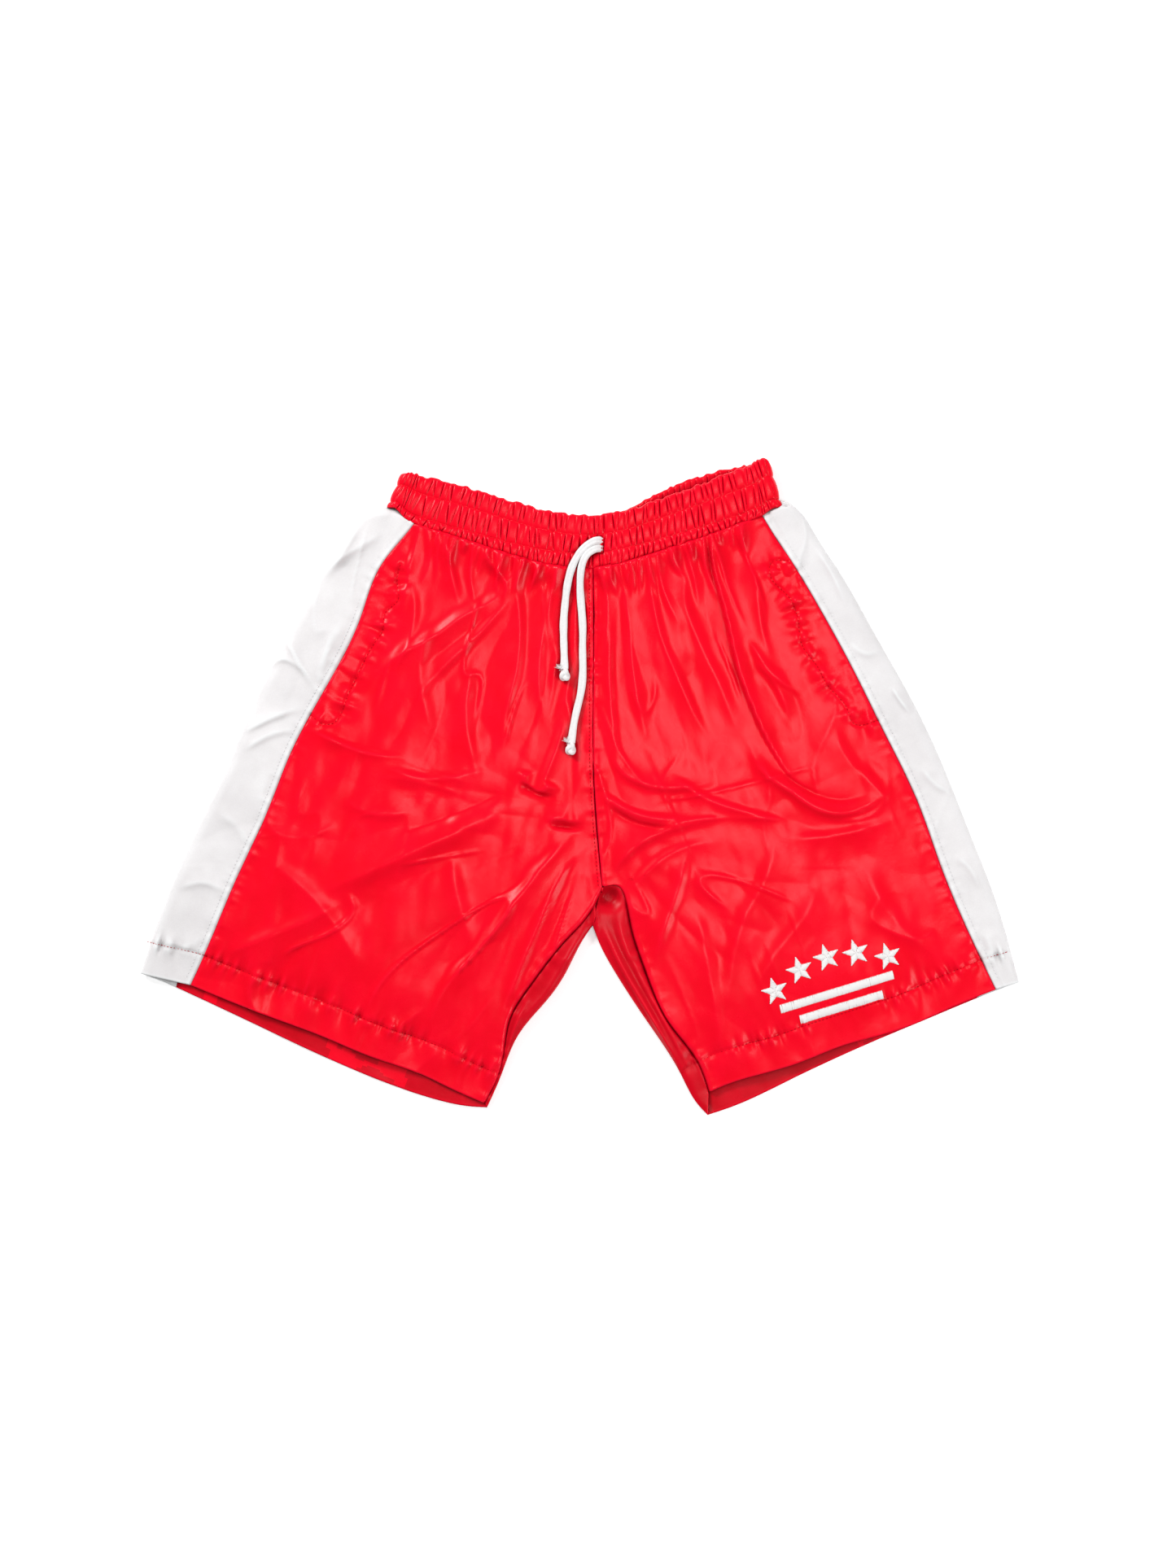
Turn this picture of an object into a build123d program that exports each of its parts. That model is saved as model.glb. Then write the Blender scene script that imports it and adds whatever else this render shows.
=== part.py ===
"""Satin boxing shorts, laid flat on their back.

Millimetres. +Y points to the waist, +X to the wearer's left leg, +Z up off the
surface. The origin is the middle of the garment on that surface.

Each ply of cloth is a plate about a millimetre thick. A front and a back ply lie
apart and meet in a rounded fold, so the waist, both legs and both pockets stay open.
"""

from build123d import *
import os
from math import cos, pi, radians, sin, tan

# ---- driving dimensions -------------------------------------------------------
PLY = 1.0  # one ply of satin
HEM_PLY = 2.0  # the hem, where the cloth is turned up
LEG_HEIGHT = 12.0  # outside height of the legs as they lie
FOLD = 0.47  # share of a height that a folded edge is rounded by

BAND_HEIGHT = 16.0  # outside height of the flat waistband
CASING_PLY = 0.8
CORD_WIDTH, CORD_THICK = 6.5, 2.8  # flat drawcord
ELASTIC_THICK = 1.2
BAND_WALL = 2 * CASING_PLY + CORD_THICK + ELASTIC_THICK
ELASTIC_DEPTH = CASING_PLY + CORD_THICK  # from the casing's outside to the elastic
ELASTIC_MARGIN = 3.0  # from the band's top and bottom edges to the elastic
CHANNEL_SHARE = 0.47  # height of the cord channel, as a share of the band
TOP_ROW, LOW_ROW = 0.66, 0.29  # the two shirring rows, as shares of the band
ROW_ENDS = (-150.0, 156.0)  # X where the rows end, before the band's folds
CORDS_CROSS = (-14.0, 20.6)  # X between which the cords lie over the rows

BAND_SEAM_X = 20.6  # where the band's two halves join, at the front and at the back
SLIT_X, SLIT_WIDTH = 16.6, 2.2  # buttonhole slit, beside that seam
SLIT_LOW, SLIT_HIGH = 207.0, 220.6
RISER_TOP = 21.0
SLIT_GAP, RIM_WIDTH = 0.1, 1.4  # from the cords to the casing, and how wide the stitched rim is

THREAD_WIDTH, THREAD_HIGH = 0.7, 0.3
HEM_DEPTH = 27.0
TOPSTITCH_INSET = 6.5  # from the stripe's seam to its topstitching
TOPSTITCH_FROM, TOPSTITCH_TO = -170.0, 226.0  # Y at its ends
RISE_STITCH_INSET, RISE_TOP = 3.4, 188.0  # from the centre seam to its topstitching, and where that starts

POCKET_PLY = 0.8
POCKET_HOLLOW = 4.6
POCKET_LIP = 10.0  # how far the bag reaches past its mouth, under the stripe
POCKET_MOUTH = 9.0  # width of the open slit, measured along X
POCKET_TOP_Y, POCKET_MOUTH_LOW_Y, POCKET_LOW_Y = 188.0, 66.0, 18.0
POCKET_INNER_X = 98.0  # how near the centre line the bag comes
FACING_WIDTH = 19.0

BAND_OVERLAP = 3.0  # how far a panel is drawn under the band before it is cut off there
BACKING_PLY = 0.5
THREAD_PILE = 0.7  # height of the embroidery
MOTIF_CENTRE, MOTIF_TILT = (222.0, -166.0), 17.0
STAR_RADIUS, STAR_WAIST, STAR_PITCH, STAR_ROW, STAR_ARCH = 12.5, 0.42, 26.0, 2.0, 15.0
BARS, BAR_HIGH = [(104.0, -19.0), (76.0, -33.0)], 8.0  # width and lower edge of each bar
BACKING_SIZE = (138.0, 78.0)

LEFT, RIGHT = 1, -1  # the wearer's sides
BEYOND = 40.0  # far enough to reach out of any panel
PAST_SIDE, PAST_WAIST = 460.0, 320.0  # X and Y outside the whole garment
FAR = 400.0  # half the size of a box that takes in everything
HEM_FLARE = 20.0  # how far a leg's hollow opens out past its hem
EDGE_PROBE = 0.37  # where along a folded edge its line is looked up

# ---- lines on the flat garment, each from the waist or from the outside edge ---
BAND_LOW = [(-172, 240), (-118, 222), (-75, 208), (11, 192), (76, 208), (114, 220.7), (178, 242)]
BAND_TOP = [(-156.5, 277.5), (-113, 268), (-69.5, 255), (18, 239.5), (79, 259), (110, 268.5), (166, 289.8)]
BACK_TOP = [(-156.5, 277.5), (-113, 267), (-69.5, 254), (18, 238.5), (74, 263), (108, 275), (166, 289.8)]

CENTRE_SEAM = [(11.5, 190), (12, 90), (12.5, 10), (17, -55), (19.8, -88)]
CROTCH = (11.2, -122.3)

SIDE = {
    RIGHT: [(-193, 239), (-225, 192), (-264, 120), (-331, -23), (-388.4, -165)],
    LEFT: [(198, 239), (228, 192), (270, 120), (337, -23), (388.4, -168)],
}
HEM = {
    RIGHT: [(-388.4, -165), (-372, -170.3), (-300, -203.4), (-213, -244.4), (-127, -275.5), (-82, -283)],
    LEFT: [(388.4, -168), (377, -174.6), (305, -205.6), (218, -242.3), (132, -283), (111, -289.8)],
}
INNER_LEG = {
    RIGHT: [(-82, -283), (-69.5, -254.5), (-55, -220), (-26, -184.7), (2.5, -137), CROTCH],
    LEFT: [(111, -289.8), (89, -253), (60, -208), (31, -164), CROTCH],
}
STRIPE_SEAM = {
    RIGHT: [(-142, 262), (-144, 228), (-177, 193), (-204, 128), (-239, 63), (-290, -52), (-345, -178),
            (-362, -215)],
    LEFT: [(150, 275), (160, 238), (190, 193), (224, 142), (264, 70), (310, -40), (367, -178), (384, -215)],
}
INSEAM = {
    RIGHT: [(19.8, -88), (2, -118), (-34.9, -162.4), (-63.4, -204.6), (-66.6, -215), (-90, -290)],
    LEFT: [(19.8, -88), (38.5, -93), (47.7, -115.6), (68, -166), (98.3, -230.8), (113.4, -268.9), (118, -300)],
}
FRONT_HEM = {
    RIGHT: [(-392, -160), (-345, -175.5), (-301, -192.5), (-215, -223), (-144, -249.5), (-94, -272.5),
            (-60, -286)],
    LEFT: [(400, -163), (350, -187), (297, -209.5), (208, -238.5), (135, -260.5), (113.4, -268.9), (80, -281)],
}
HEM_ROW_ENDS = {RIGHT: (-366.0, -78.0), LEFT: (112.0, 372.0)}  # X where a hem's stitching begins and ends
STRIPE_WRAP = {RIGHT: (12.0, 30.0), LEFT: (10.0, 24.0)}  # reach round the back, at waist and hem

# ---- drawcord, from the slit to each knot --------------------------------------
CORD_TUBE = 4.4  # a round tube with the flat cord's section
SHORT_END = [
    (16.6, 217.4, 18.9), (10.6, 215.6, 18.9), (4.4, 211.4, 18.9), (-2.4, 203.4, 18.9), (-8, 191.4, 18.8),
    (-11.2, 177.4, 16.9), (-13, 162, 14.9), (-14.4, 146, 14.7), (-14.2, 129, 14.9), (-13.7, 115.5, 15.8),
    (-13.4, 104, 16.9),
]
LONG_END = [
    (16.6, 210.6, 18.9), (11.4, 208.8, 18.9), (6, 204.8, 18.9), (2, 197, 18.9), (0.4, 186.4, 18.5),
    (0.2, 173.6, 16.3), (1.4, 158.6, 14.8), (2.8, 140.5, 14.8), (2.3, 121, 14.7), (2.9, 102, 14.8),
    (1.4, 84, 14.7), (-3, 67, 14.9), (-6, 52, 15.8), (-7.4, 39, 16.9),
]
BEND_SHARE = 0.45  # of the shorter run at each point of a cord's route
KNOT_RADIUS, KNOT_LENGTH, KNOT_END = 4.5, 13.0, 2.6
KNOT_GRIP = 0.6  # how much of the cord's end is inside its knot


# ---- helpers -------------------------------------------------------------------
def moved(line, dx=0.0, dy=0.0):
    """The points of a line, shifted."""
    return [(x + dx, y + dy) for x, y in line]


def between(low, high, share):
    """The line that lies at that share of the way from one line to another."""
    return [(a + (c - a) * share, b + (d - b) * share) for (a, b), (c, d) in zip(low, high)]


def curve(points):
    """A smooth edge through the points, or a straight one through two."""
    return Spline(*points) if len(points) > 2 else Line(*points)


def plate(outline, low, high):
    """A plate between two heights. The outline is a list of lines, with straight edges between them."""
    edges, first, last = [], outline[0][0], None
    for line in outline:
        if last is not None and (Vector(*last) - Vector(*line[0])).length > 1e-6:
            edges.append(Line(last, line[0]))
        if len(line) > 1:
            edges.append(curve(line))
        last = line[-1]
    if (Vector(*last) - Vector(*first)).length > 1e-6:
        edges.append(Line(last, first))
    face = make_face(edges).face()
    if face.normal_at().Z < 0:
        face = -face
    return Pos(0, 0, low) * extrude(face, high - low)


def box(low, high):
    """A box between two corners."""
    size = [b - a for a, b in zip(low, high)]
    middle = [(a + b) / 2 for a, b in zip(low, high)]
    return Pos(*middle) * Box(*size)


def round_fold(solid, lines):
    """Rounds the long edges of a plate that follow the lines, as where cloth folds over."""
    box_z = solid.bounding_box()
    height = box_z.max.Z - box_z.min.Z
    spots = [Vector(*(curve(line) @ EDGE_PROBE)) for line in lines]
    edges = [
        edge
        for edge in solid.edges()
        for spot in spots
        for z in (box_z.min.Z, box_z.max.Z)
        if edge.distance_to(Vector(spot.X, spot.Y, z)) < 0.05
    ]
    return fillet(edges, FOLD * height)


def thread(line, top, across=(0, 1)):
    """A row of stitching along a line, lying on the cloth at that height."""
    dx, dy = (THREAD_WIDTH / 2 * a for a in across)
    return plate([moved(line, dx, dy), moved(line, -dx, -dy)[::-1]], top, top + THREAD_HIGH)


def save(name, *solids):
    """Writes one node."""
    parts = [solid for shape in solids for solid in shape.solids()]
    shape = parts[0] if len(parts) == 1 else Compound(children=parts)
    export_step(shape, f"parts/{name}.step")


# ---- panels --------------------------------------------------------------------
def half_waist(side):
    """The band's lower edge from the centre seam to the side."""
    middle = (CENTRE_SEAM[0][0], BAND_LOW[3][1])
    return [middle, *(BAND_LOW[4:] if side == LEFT else BAND_LOW[2::-1])]


def leg_slab(side, inset, low, high):
    """The half of the garment on that side of the centre seam, with its folds at the side and inner leg."""
    across = -side * inset
    side_line = moved(SIDE[side], across)
    inner = moved(INNER_LEG[side], side * inset)
    seam = CENTRE_SEAM
    if inset:
        end, (hem_x, hem_y) = inner[0], side_line[-1]
        side_line[0] = (side_line[0][0], side_line[0][1] - inset)
        outline = [
            [(-side * BEYOND, PAST_WAIST)],
            [(side_line[0][0], PAST_WAIST)],
            side_line,
            [(hem_x + side * HEM_FLARE, hem_y - BEYOND)],
            [(end[0] + side * HEM_FLARE, end[1] - BEYOND)],
            inner,
            [(-side * BEYOND, CROTCH[1] + 1.5 * inset)],
        ]
    else:
        waist = moved(half_waist(side), 0, BAND_OVERLAP)
        outline = [waist, side_line, HEM[side], inner, [CROTCH, seam[-1]], seam[::-1]]
    return round_fold(plate(outline, low, high), [side_line, inner])


def above_hem(side):
    """Everything above the line that the hem is turned up to."""
    line = moved(HEM[side], 0, HEM_DEPTH)
    far = (line[0][0] + side * BEYOND, line[0][1])
    near = (-side * BEYOND, line[-1][1] - 10)
    return plate([[far], line, [near], [(near[0], FAR)], [(far[0], FAR)]], -1, LEG_HEIGHT + 1)


def skin(side):
    """One half of the garment as a hollow skin, open at the waist, the hem and the centre."""
    outer = leg_slab(side, 0, 0, LEG_HEIGHT)
    upper = leg_slab(side, PLY, PLY, LEG_HEIGHT - PLY) & above_hem(side)
    lower = leg_slab(side, HEM_PLY, HEM_PLY, LEG_HEIGHT - HEM_PLY)
    return outer - upper - lower - band_plan()


def band_plan():
    """The band's plan, past every panel's height."""
    return plate([BAND_LOW, moved(BAND_TOP, 0, BEYOND)[::-1]], -1, LEG_HEIGHT + 1)


def front_ply(side):
    """The region of the front panel, seen from above."""
    low, high = LEG_HEIGHT / 2, LEG_HEIGHT + 1
    centre = CENTRE_SEAM[::-1]
    inside = plate([STRIPE_SEAM[side], INSEAM[side][::-1], centre, [(centre[-1][0], PAST_WAIST)]], low, high)
    corners = [[(-side * HEM_FLARE, -FAR / 2)], [(-side * HEM_FLARE, FAR)], [(side * PAST_SIDE, FAR)]]
    return inside & plate([FRONT_HEM[side], *corners], low, high)


def stripe_region(side):
    """The region of the side stripe: a wide front ply, and a narrow reach round the back."""
    seam = STRIPE_SEAM[side]
    outside = [[(side * PAST_SIDE, seam[-1][1])], [(side * PAST_SIDE, PAST_WAIST)], [(seam[0][0], PAST_WAIST)]]
    front = plate([seam, *outside], LEG_HEIGHT / 2, LEG_HEIGHT + 1)
    edge, (waist_reach, hem_reach) = SIDE[side], STRIPE_WRAP[side]
    steps = len(edge) - 1
    wrap = [
        (x - side * (waist_reach + (hem_reach - waist_reach) * i / steps), y)
        for i, (x, y) in enumerate(edge)
    ]
    top, foot = (wrap[0][0], PAST_WAIST), (wrap[-1][0] + side * 8, wrap[-1][1] - HEM_FLARE)
    corners = [[foot], [(side * PAST_SIDE, foot[1])], [(side * PAST_SIDE, PAST_WAIST)]]
    back = plate([[top], wrap, *corners], -1, LEG_HEIGHT / 2)
    return front + back


def pocket_mouth(side):
    """The slit between the front panel and the stripe that a hand goes in at."""
    seam = [p for p in STRIPE_SEAM[side] if POCKET_MOUTH_LOW_Y - 10 < p[1] < POCKET_TOP_Y + 10]
    strip = plate([seam, moved(seam[::-1], -side * POCKET_MOUTH)], LEG_HEIGHT / 2, LEG_HEIGHT + 1)
    return strip & box((-FAR, POCKET_MOUTH_LOW_Y, 0), (FAR, POCKET_TOP_Y - 2, BEYOND))


def panels(side, name):
    """The front panel, the back panel and the side stripe of one half; the front is shorter at the hem."""
    hollow = skin(side)
    front_zone, stripe_zone = front_ply(side), stripe_region(side)
    below_front = [STRIPE_SEAM[side][-3:], INSEAM[side][::-1][:3]]
    short_front = plate(below_front, LEG_HEIGHT / 2, LEG_HEIGHT + 1)
    front = (hollow & front_zone) - stripe_zone
    stripe = hollow & stripe_zone
    back = hollow - front_zone - stripe_zone - short_front
    front -= pocket_mouth(side)
    save(f"front_panel_{name}", keep_large(front))
    save(f"back_panel_{name}", keep_large(back))
    save(f"side_stripe_{name}", keep_large(stripe))


def keep_large(shape, share=0.02):
    """A shape without the crumbs that a cut leaves."""
    solids = sorted(shape.solids(), key=lambda s: s.volume)
    kept = [s for s in solids if s.volume > share * solids[-1].volume]
    return kept[0] if len(kept) == 1 else Compound(children=kept)


# ---- waistband -----------------------------------------------------------------
def band_slab(inset, low, high, past_top=BEYOND, past_low=BEYOND, top=BAND_TOP):
    """The flat band between two heights, its ends moved in by inset and its long edges moved out."""
    upper, lower = moved(top, 0, past_top), moved(BAND_LOW, 0, -past_low)
    for line in (upper, lower):
        line[0] = (line[0][0] + inset, line[0][1])
        line[-1] = (line[-1][0] - inset, line[-1][1])
    slab = plate([upper, lower[::-1]], low, high)
    ends = [[lower[0], upper[0]], [lower[-1], upper[-1]]]
    return round_fold(slab, ends)


def band_ring(outside, inside, **edges):
    """A closed loop round the band, between two depths from its outside."""
    outer = band_slab(outside, outside, BAND_HEIGHT - outside, **edges)
    return outer - band_slab(inside, inside, BAND_HEIGHT - inside)


def channel(width):
    """The strip that the drawcord runs in, seen from above."""
    middle = between(BAND_LOW, BAND_TOP, CHANNEL_SHARE)
    middle[0] = (middle[0][0] - BEYOND, middle[0][1] + 8)
    middle[-1] = (middle[-1][0] + BEYOND, middle[-1][1] + 8)
    return plate([moved(middle, 0, width / 2), moved(middle, 0, -width / 2)[::-1]], -1, BAND_HEIGHT + 1)


def half_band(side):
    """Everything on that side of the band's seam."""
    far = BAND_SEAM_X + side * FAR
    return box((min(BAND_SEAM_X, far), 0, -5), (max(BAND_SEAM_X, far), FAR, 60))


def slit(gap):
    """The buttonhole slit through the casing, with a gap round the cords that come out of it."""
    return box(
        (SLIT_X - gap, SLIT_LOW - gap, BAND_HEIGHT - BAND_WALL / 2),
        (SLIT_X + SLIT_WIDTH + gap, SLIT_HIGH + gap, RISER_TOP + gap),
    )


def waistband():
    """The casing's two halves, the elastic, the drawcord's inner run and the buttonhole's stitching."""
    middle = BAND_HEIGHT / 2
    front = band_slab(0, 0, BAND_HEIGHT, 0, 0) & box((-FAR, 0, middle), (FAR, FAR, BEYOND))
    back = band_slab(0, 0, BAND_HEIGHT, 0, 0, BACK_TOP) & box((-FAR, 0, -1), (FAR, FAR, middle))
    outer = front + back
    opening = band_slab(BAND_WALL, BAND_WALL, BAND_HEIGHT - BAND_WALL)
    elastic = band_ring(
        ELASTIC_DEPTH, ELASTIC_DEPTH + ELASTIC_THICK, past_top=-ELASTIC_MARGIN, past_low=-ELASTIC_MARGIN
    )
    run = band_ring(CASING_PLY, ELASTIC_DEPTH) & channel(CORD_WIDTH)
    riser = slit(0) - elastic
    run_with_riser = run - elastic + riser
    casing = outer - opening - elastic - run - slit(SLIT_GAP)
    for side, name in ((LEFT, "left"), (RIGHT, "right")):
        save(f"waistband_casing_{name}", keep_large(casing & half_band(side)))
    save("waist_elastic", elastic)
    save("drawcord_run", keep_large(run_with_riser))
    rim = slit(RIM_WIDTH) - slit(SLIT_GAP)
    save("buttonhole_stitching", rim & box((0, 0, BAND_HEIGHT), (FAR, FAR, BAND_HEIGHT + THREAD_HIGH)))


def band_stitching(side, name):
    """The two shirring rows on the front of the band."""
    lines = [between(BAND_LOW, BAND_TOP, share) for share in (TOP_ROW, LOW_ROW)]
    ends = box((ROW_ENDS[0], 0, -5), (ROW_ENDS[1], FAR, BEYOND))
    hole = box((SLIT_X - 8, SLIT_LOW - 3, -5), (SLIT_X + 6, SLIT_HIGH + 3, BEYOND))
    rows = [thread(line, BAND_HEIGHT) & half_band(side) & ends for line in lines]
    cords = box((CORDS_CROSS[0], 190, 14), (CORDS_CROSS[1], 224, BEYOND))
    save(f"waistband_stitching_{name}", *[row - hole - cords for row in rows])


# ---- stitching, pockets and embroidery -------------------------------------------
def panel_stitching(side, name):
    """The rows of stitching on the front of one leg."""
    seam, top = STRIPE_SEAM[side], LEG_HEIGHT
    low, high = HEM_ROW_ENDS[side]
    limit = box((low, -FAR, 0), (high, FAR, BEYOND))
    hem = thread(moved(FRONT_HEM[side], 0, HEM_DEPTH), top) & limit
    save(f"hem_stitching_{name}", hem)
    beside = moved(seam[1:-1], side * TOPSTITCH_INSET)
    topstitch = thread(beside, top, (1, 0)) & box((-FAR, TOPSTITCH_FROM, 0), (FAR, TOPSTITCH_TO, BEYOND))
    save(f"stripe_topstitching_{name}", topstitch - hem)
    pocket_seam = [p for p in seam if POCKET_MOUTH_LOW_Y - 10 < p[1] < POCKET_TOP_Y + 10]
    facing = moved(pocket_seam, -side * (FACING_WIDTH + POCKET_MOUTH))
    save(f"pocket_stitching_{name}", thread(facing, top, (1, 0)))


def rise_stitching():
    """The row beside the centre front seam, from the band to the crotch."""
    line = moved(CENTRE_SEAM, -RISE_STITCH_INSET)
    band = box((-BEYOND, RISE_TOP, 0), (BEYOND, PAST_WAIST, BEYOND))
    save("rise_stitching", thread(line, LEG_HEIGHT, (1, 0)) - band)


def pocket_plan(side, inset):
    """The corners of a pocket bag, each moved in by an inset."""
    lip = [p for p in STRIPE_SEAM[side] if POCKET_MOUTH_LOW_Y - 10 < p[1] < POCKET_TOP_Y + 10]
    (top_x, top_y), (mid_x, mid_y), (low_x, low_y) = moved(lip, side * (POCKET_LIP - inset))
    inner = side * (POCKET_INNER_X + inset) + 14
    floor = POCKET_LOW_Y + inset
    return [
        (top_x, top_y - inset),
        (mid_x, mid_y),
        (low_x, low_y),
        (low_x - side * 8, floor + 24),
        (low_x - side * 34, floor),
        (inner + side * 24, floor),
        (inner, floor + 28),
        (inner + side * 8, top_y - inset),
    ]


def pocket(side, name):
    """The bag that hangs inside the front panel, open upwards to the mouth beside the stripe."""
    top = LEG_HEIGHT - PLY
    floor = top - POCKET_HOLLOW
    tray = plate([[p] for p in pocket_plan(side, 0)], floor - POCKET_PLY, top)
    hollow = plate([[p] for p in pocket_plan(side, POCKET_PLY)], floor, top + 1)
    save(f"pocket_bag_{name}", tray - hollow)


# ---- drawcord ends -------------------------------------------------------------
def bend_radii(points):
    """The largest radius at each inner point of a route that its two runs allow."""
    radii = []
    for before, here, after in zip(points, points[1:], points[2:]):
        run_in, run_out = Vector(*here) - Vector(*before), Vector(*after) - Vector(*here)
        turn = radians(run_in.get_angle(run_out))
        radii.append(BEND_SHARE * min(run_in.length, run_out.length) / tan(turn / 2))
    return radii


def cord_end(name, route):
    """One free end of the drawcord, from the slit to its knot, and the knot."""
    radii = bend_radii(route)
    path = FilletPolyline(*route, radius=radii)
    start = Plane(origin=path @ 0, z_dir=path % 0)
    tube = sweep(start * Circle(CORD_TUBE / 2), path)
    tight = [round(radius) for radius in radii]
    share = tube.volume / (pi * (CORD_TUBE / 2) ** 2 * path.length)
    print(f"{name}: length {path.length:.1f} mm, radii {tight}, volume over section x length {share:.3f}")
    ahead = Vector(*route[-1]) - Vector(*route[-2])
    ahead = Vector(ahead.X, ahead.Y, 0).normalized()
    end = Vector(*route[-1]) - ahead * KNOT_GRIP
    profile = [(0, 0), (KNOT_END, 0), (KNOT_RADIUS, 0.3 * KNOT_LENGTH), (KNOT_RADIUS, 0.62 * KNOT_LENGTH)]
    profile += [(KNOT_END, KNOT_LENGTH), (0, KNOT_LENGTH)]
    bulb = revolve(Plane.XZ * make_face(Polyline(*profile, close=True)), Axis.Z)
    knot = Plane(origin=end, z_dir=ahead) * bulb
    save(f"drawcord_end_{name}", tube - knot - slit(0))
    save(f"drawcord_knot_{name}", knot)


# ---- embroidery ----------------------------------------------------------------
def star(x, y, radius):
    """A five-pointed star standing upright."""
    points = []
    for corner in range(10):
        reach = radius if corner % 2 == 0 else STAR_WAIST * radius
        angle = pi / 2 + corner * pi / 5
        points.append((x + reach * cos(angle), y + reach * sin(angle)))
    return plate([[p] for p in points], 0, THREAD_PILE)


def embroidery():
    """A row of stars over two bars, and the stabiliser sheet sewn in behind them."""
    motif = []
    for count in range(-2, 3):
        rise = STAR_ARCH * (1 - (count / 2) ** 2)
        motif.append(star(count * STAR_PITCH, STAR_ROW + rise, STAR_RADIUS))
    for width, y in BARS:
        motif.append(box((-width / 2, y, 0), (width / 2, y + BAR_HIGH, THREAD_PILE)))
    place = Pos(*MOTIF_CENTRE, LEG_HEIGHT) * Rot(0, 0, MOTIF_TILT)
    save("embroidery_motif", *[place * piece for piece in motif])
    sheet = Pos(0, 0, -PLY - BACKING_PLY / 2) * Box(*BACKING_SIZE, BACKING_PLY)
    save("embroidery_backing", (place * sheet) & above_hem(LEFT))


if __name__ == "__main__":
    os.makedirs("parts", exist_ok=True)
    for side, name in ((LEFT, "left"), (RIGHT, "right")):
        panels(side, name)
        band_stitching(side, name)
        panel_stitching(side, name)
        pocket(side, name)
    waistband()
    rise_stitching()
    embroidery()
    cord_end("short", SHORT_END)
    cord_end("long", LONG_END)
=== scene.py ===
"""Satin boxing shorts laid flat on their back: the cloth, cords, stitching and embroidery.

Lengths in the tables below are millimetres in the frame's own axes, and MM turns them into metres.
RIGHT and LEFT are the wearer's sides, so the right leg lies at negative X.
"""
import math
from functools import partial

import bmesh
import bpy
import numpy as np
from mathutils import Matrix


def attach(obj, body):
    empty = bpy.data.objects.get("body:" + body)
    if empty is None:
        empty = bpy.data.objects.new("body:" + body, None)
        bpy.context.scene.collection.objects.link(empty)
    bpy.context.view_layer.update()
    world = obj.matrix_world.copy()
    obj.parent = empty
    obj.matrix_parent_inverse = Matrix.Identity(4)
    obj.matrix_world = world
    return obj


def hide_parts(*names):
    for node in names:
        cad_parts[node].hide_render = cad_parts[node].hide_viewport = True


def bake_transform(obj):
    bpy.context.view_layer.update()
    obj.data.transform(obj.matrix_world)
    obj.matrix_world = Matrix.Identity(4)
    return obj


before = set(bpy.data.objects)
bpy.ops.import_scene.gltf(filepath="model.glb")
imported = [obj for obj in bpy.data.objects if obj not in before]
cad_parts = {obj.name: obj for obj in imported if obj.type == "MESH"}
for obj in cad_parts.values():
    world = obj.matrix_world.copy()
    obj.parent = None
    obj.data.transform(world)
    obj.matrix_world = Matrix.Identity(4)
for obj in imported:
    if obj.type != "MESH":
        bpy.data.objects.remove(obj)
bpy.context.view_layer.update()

MM = 0.001
LEFT, RIGHT = 1, -1
NAMES = {LEFT: "left", RIGHT: "right"}
BODY = {LEFT: "left_half", RIGHT: "right_half"}

# ---- the garment's lines, each from the waist or from the outside edge -----------
BAND_LOW = [(-170, 246), (-144, 231), (-118, 222), (-75, 208), (11, 192), (76, 208), (114, 220.7),
            (178, 246)]
BAND_TOP = [(-157, 277.5), (-113, 267.5), (-69.5, 255), (18, 239.5), (79, 257), (110, 268.5), (166, 289)]
BACK_TOP = [(-157, 277.5), (-113, 266), (-69.5, 252), (18, 237), (74, 262), (108, 275), (166, 289)]
ROW_TOP = 0.64  # the upper shirring row, as a share of the band's height
ROW_LOW_MIDDLE, ROW_LOW_SIDE = 0.30, 0.17  # the lower row, at the centre and at the sides

CENTRE_SEAM = [(11.5, 198), (12, 90), (12.5, 10), (17, -55), (19.8, -88)]
CROTCH = (11.2, -122)
SIDE = {
    RIGHT: [(-158, 246), (-178, 246), (-191, 241), (-206.3, 221.4), (-224.3, 192.6), (-256.7, 135),
            (-286.9, 77.4), (-310.7, 19.8), (-338.8, -37.8), (-364, -95.4), (-387.7, -164.5)],
    LEFT: [(166, 254), (184, 251), (197, 240), (208.4, 221.4), (227.2, 192.6), (260.3, 135),
           (292.7, 77.4), (320, 19.8), (343, -37.8), (365.4, -95.4), (387.7, -172)],
}
STRIPE_SEAM = {
    RIGHT: [(-141, 238), (-154.4, 221.4), (-176.8, 192.6), (-193.3, 149.4), (-213.5, 106.2), (-238, 63),
            (-253, 34.2), (-276.1, -23.4), (-302.8, -81), (-327.2, -138.6), (-343.8, -174.6)],
    LEFT: [(159, 242), (171.7, 221.4), (190.4, 192.6), (207.7, 163.8), (239.4, 106.2), (268.2, 48.6),
           (296.3, -9), (317.2, -66.6), (341, -124.2), (366.8, -178.2)],
}
BACK_HEM = {
    RIGHT: [(-387.7, -164.5), (-371.9, -170.3), (-343, -183.2), (-299.9, -203.4), (-242.3, -230.8),
            (-184.7, -256), (-127, -276), (-98.3, -281.9), (-82, -283)],
    LEFT: [(387.7, -172), (362.5, -181.8), (304.9, -205.6), (247.3, -230), (189.7, -256.7),
           (132, -283.3), (113, -289.6)],
}
FRONT_HEM = {
    RIGHT: [(-343.8, -174.6), (-294, -194.8), (-223.6, -221.4), (-177.5, -240), (-144.4, -251.6),
            (-109, -268.2), (-84, -279)],
    LEFT: [(366.8, -178.2), (333, -192), (286.2, -212), (225.7, -230), (187.6, -245),
           (135, -260.3), (113.7, -269)],
}
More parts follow.
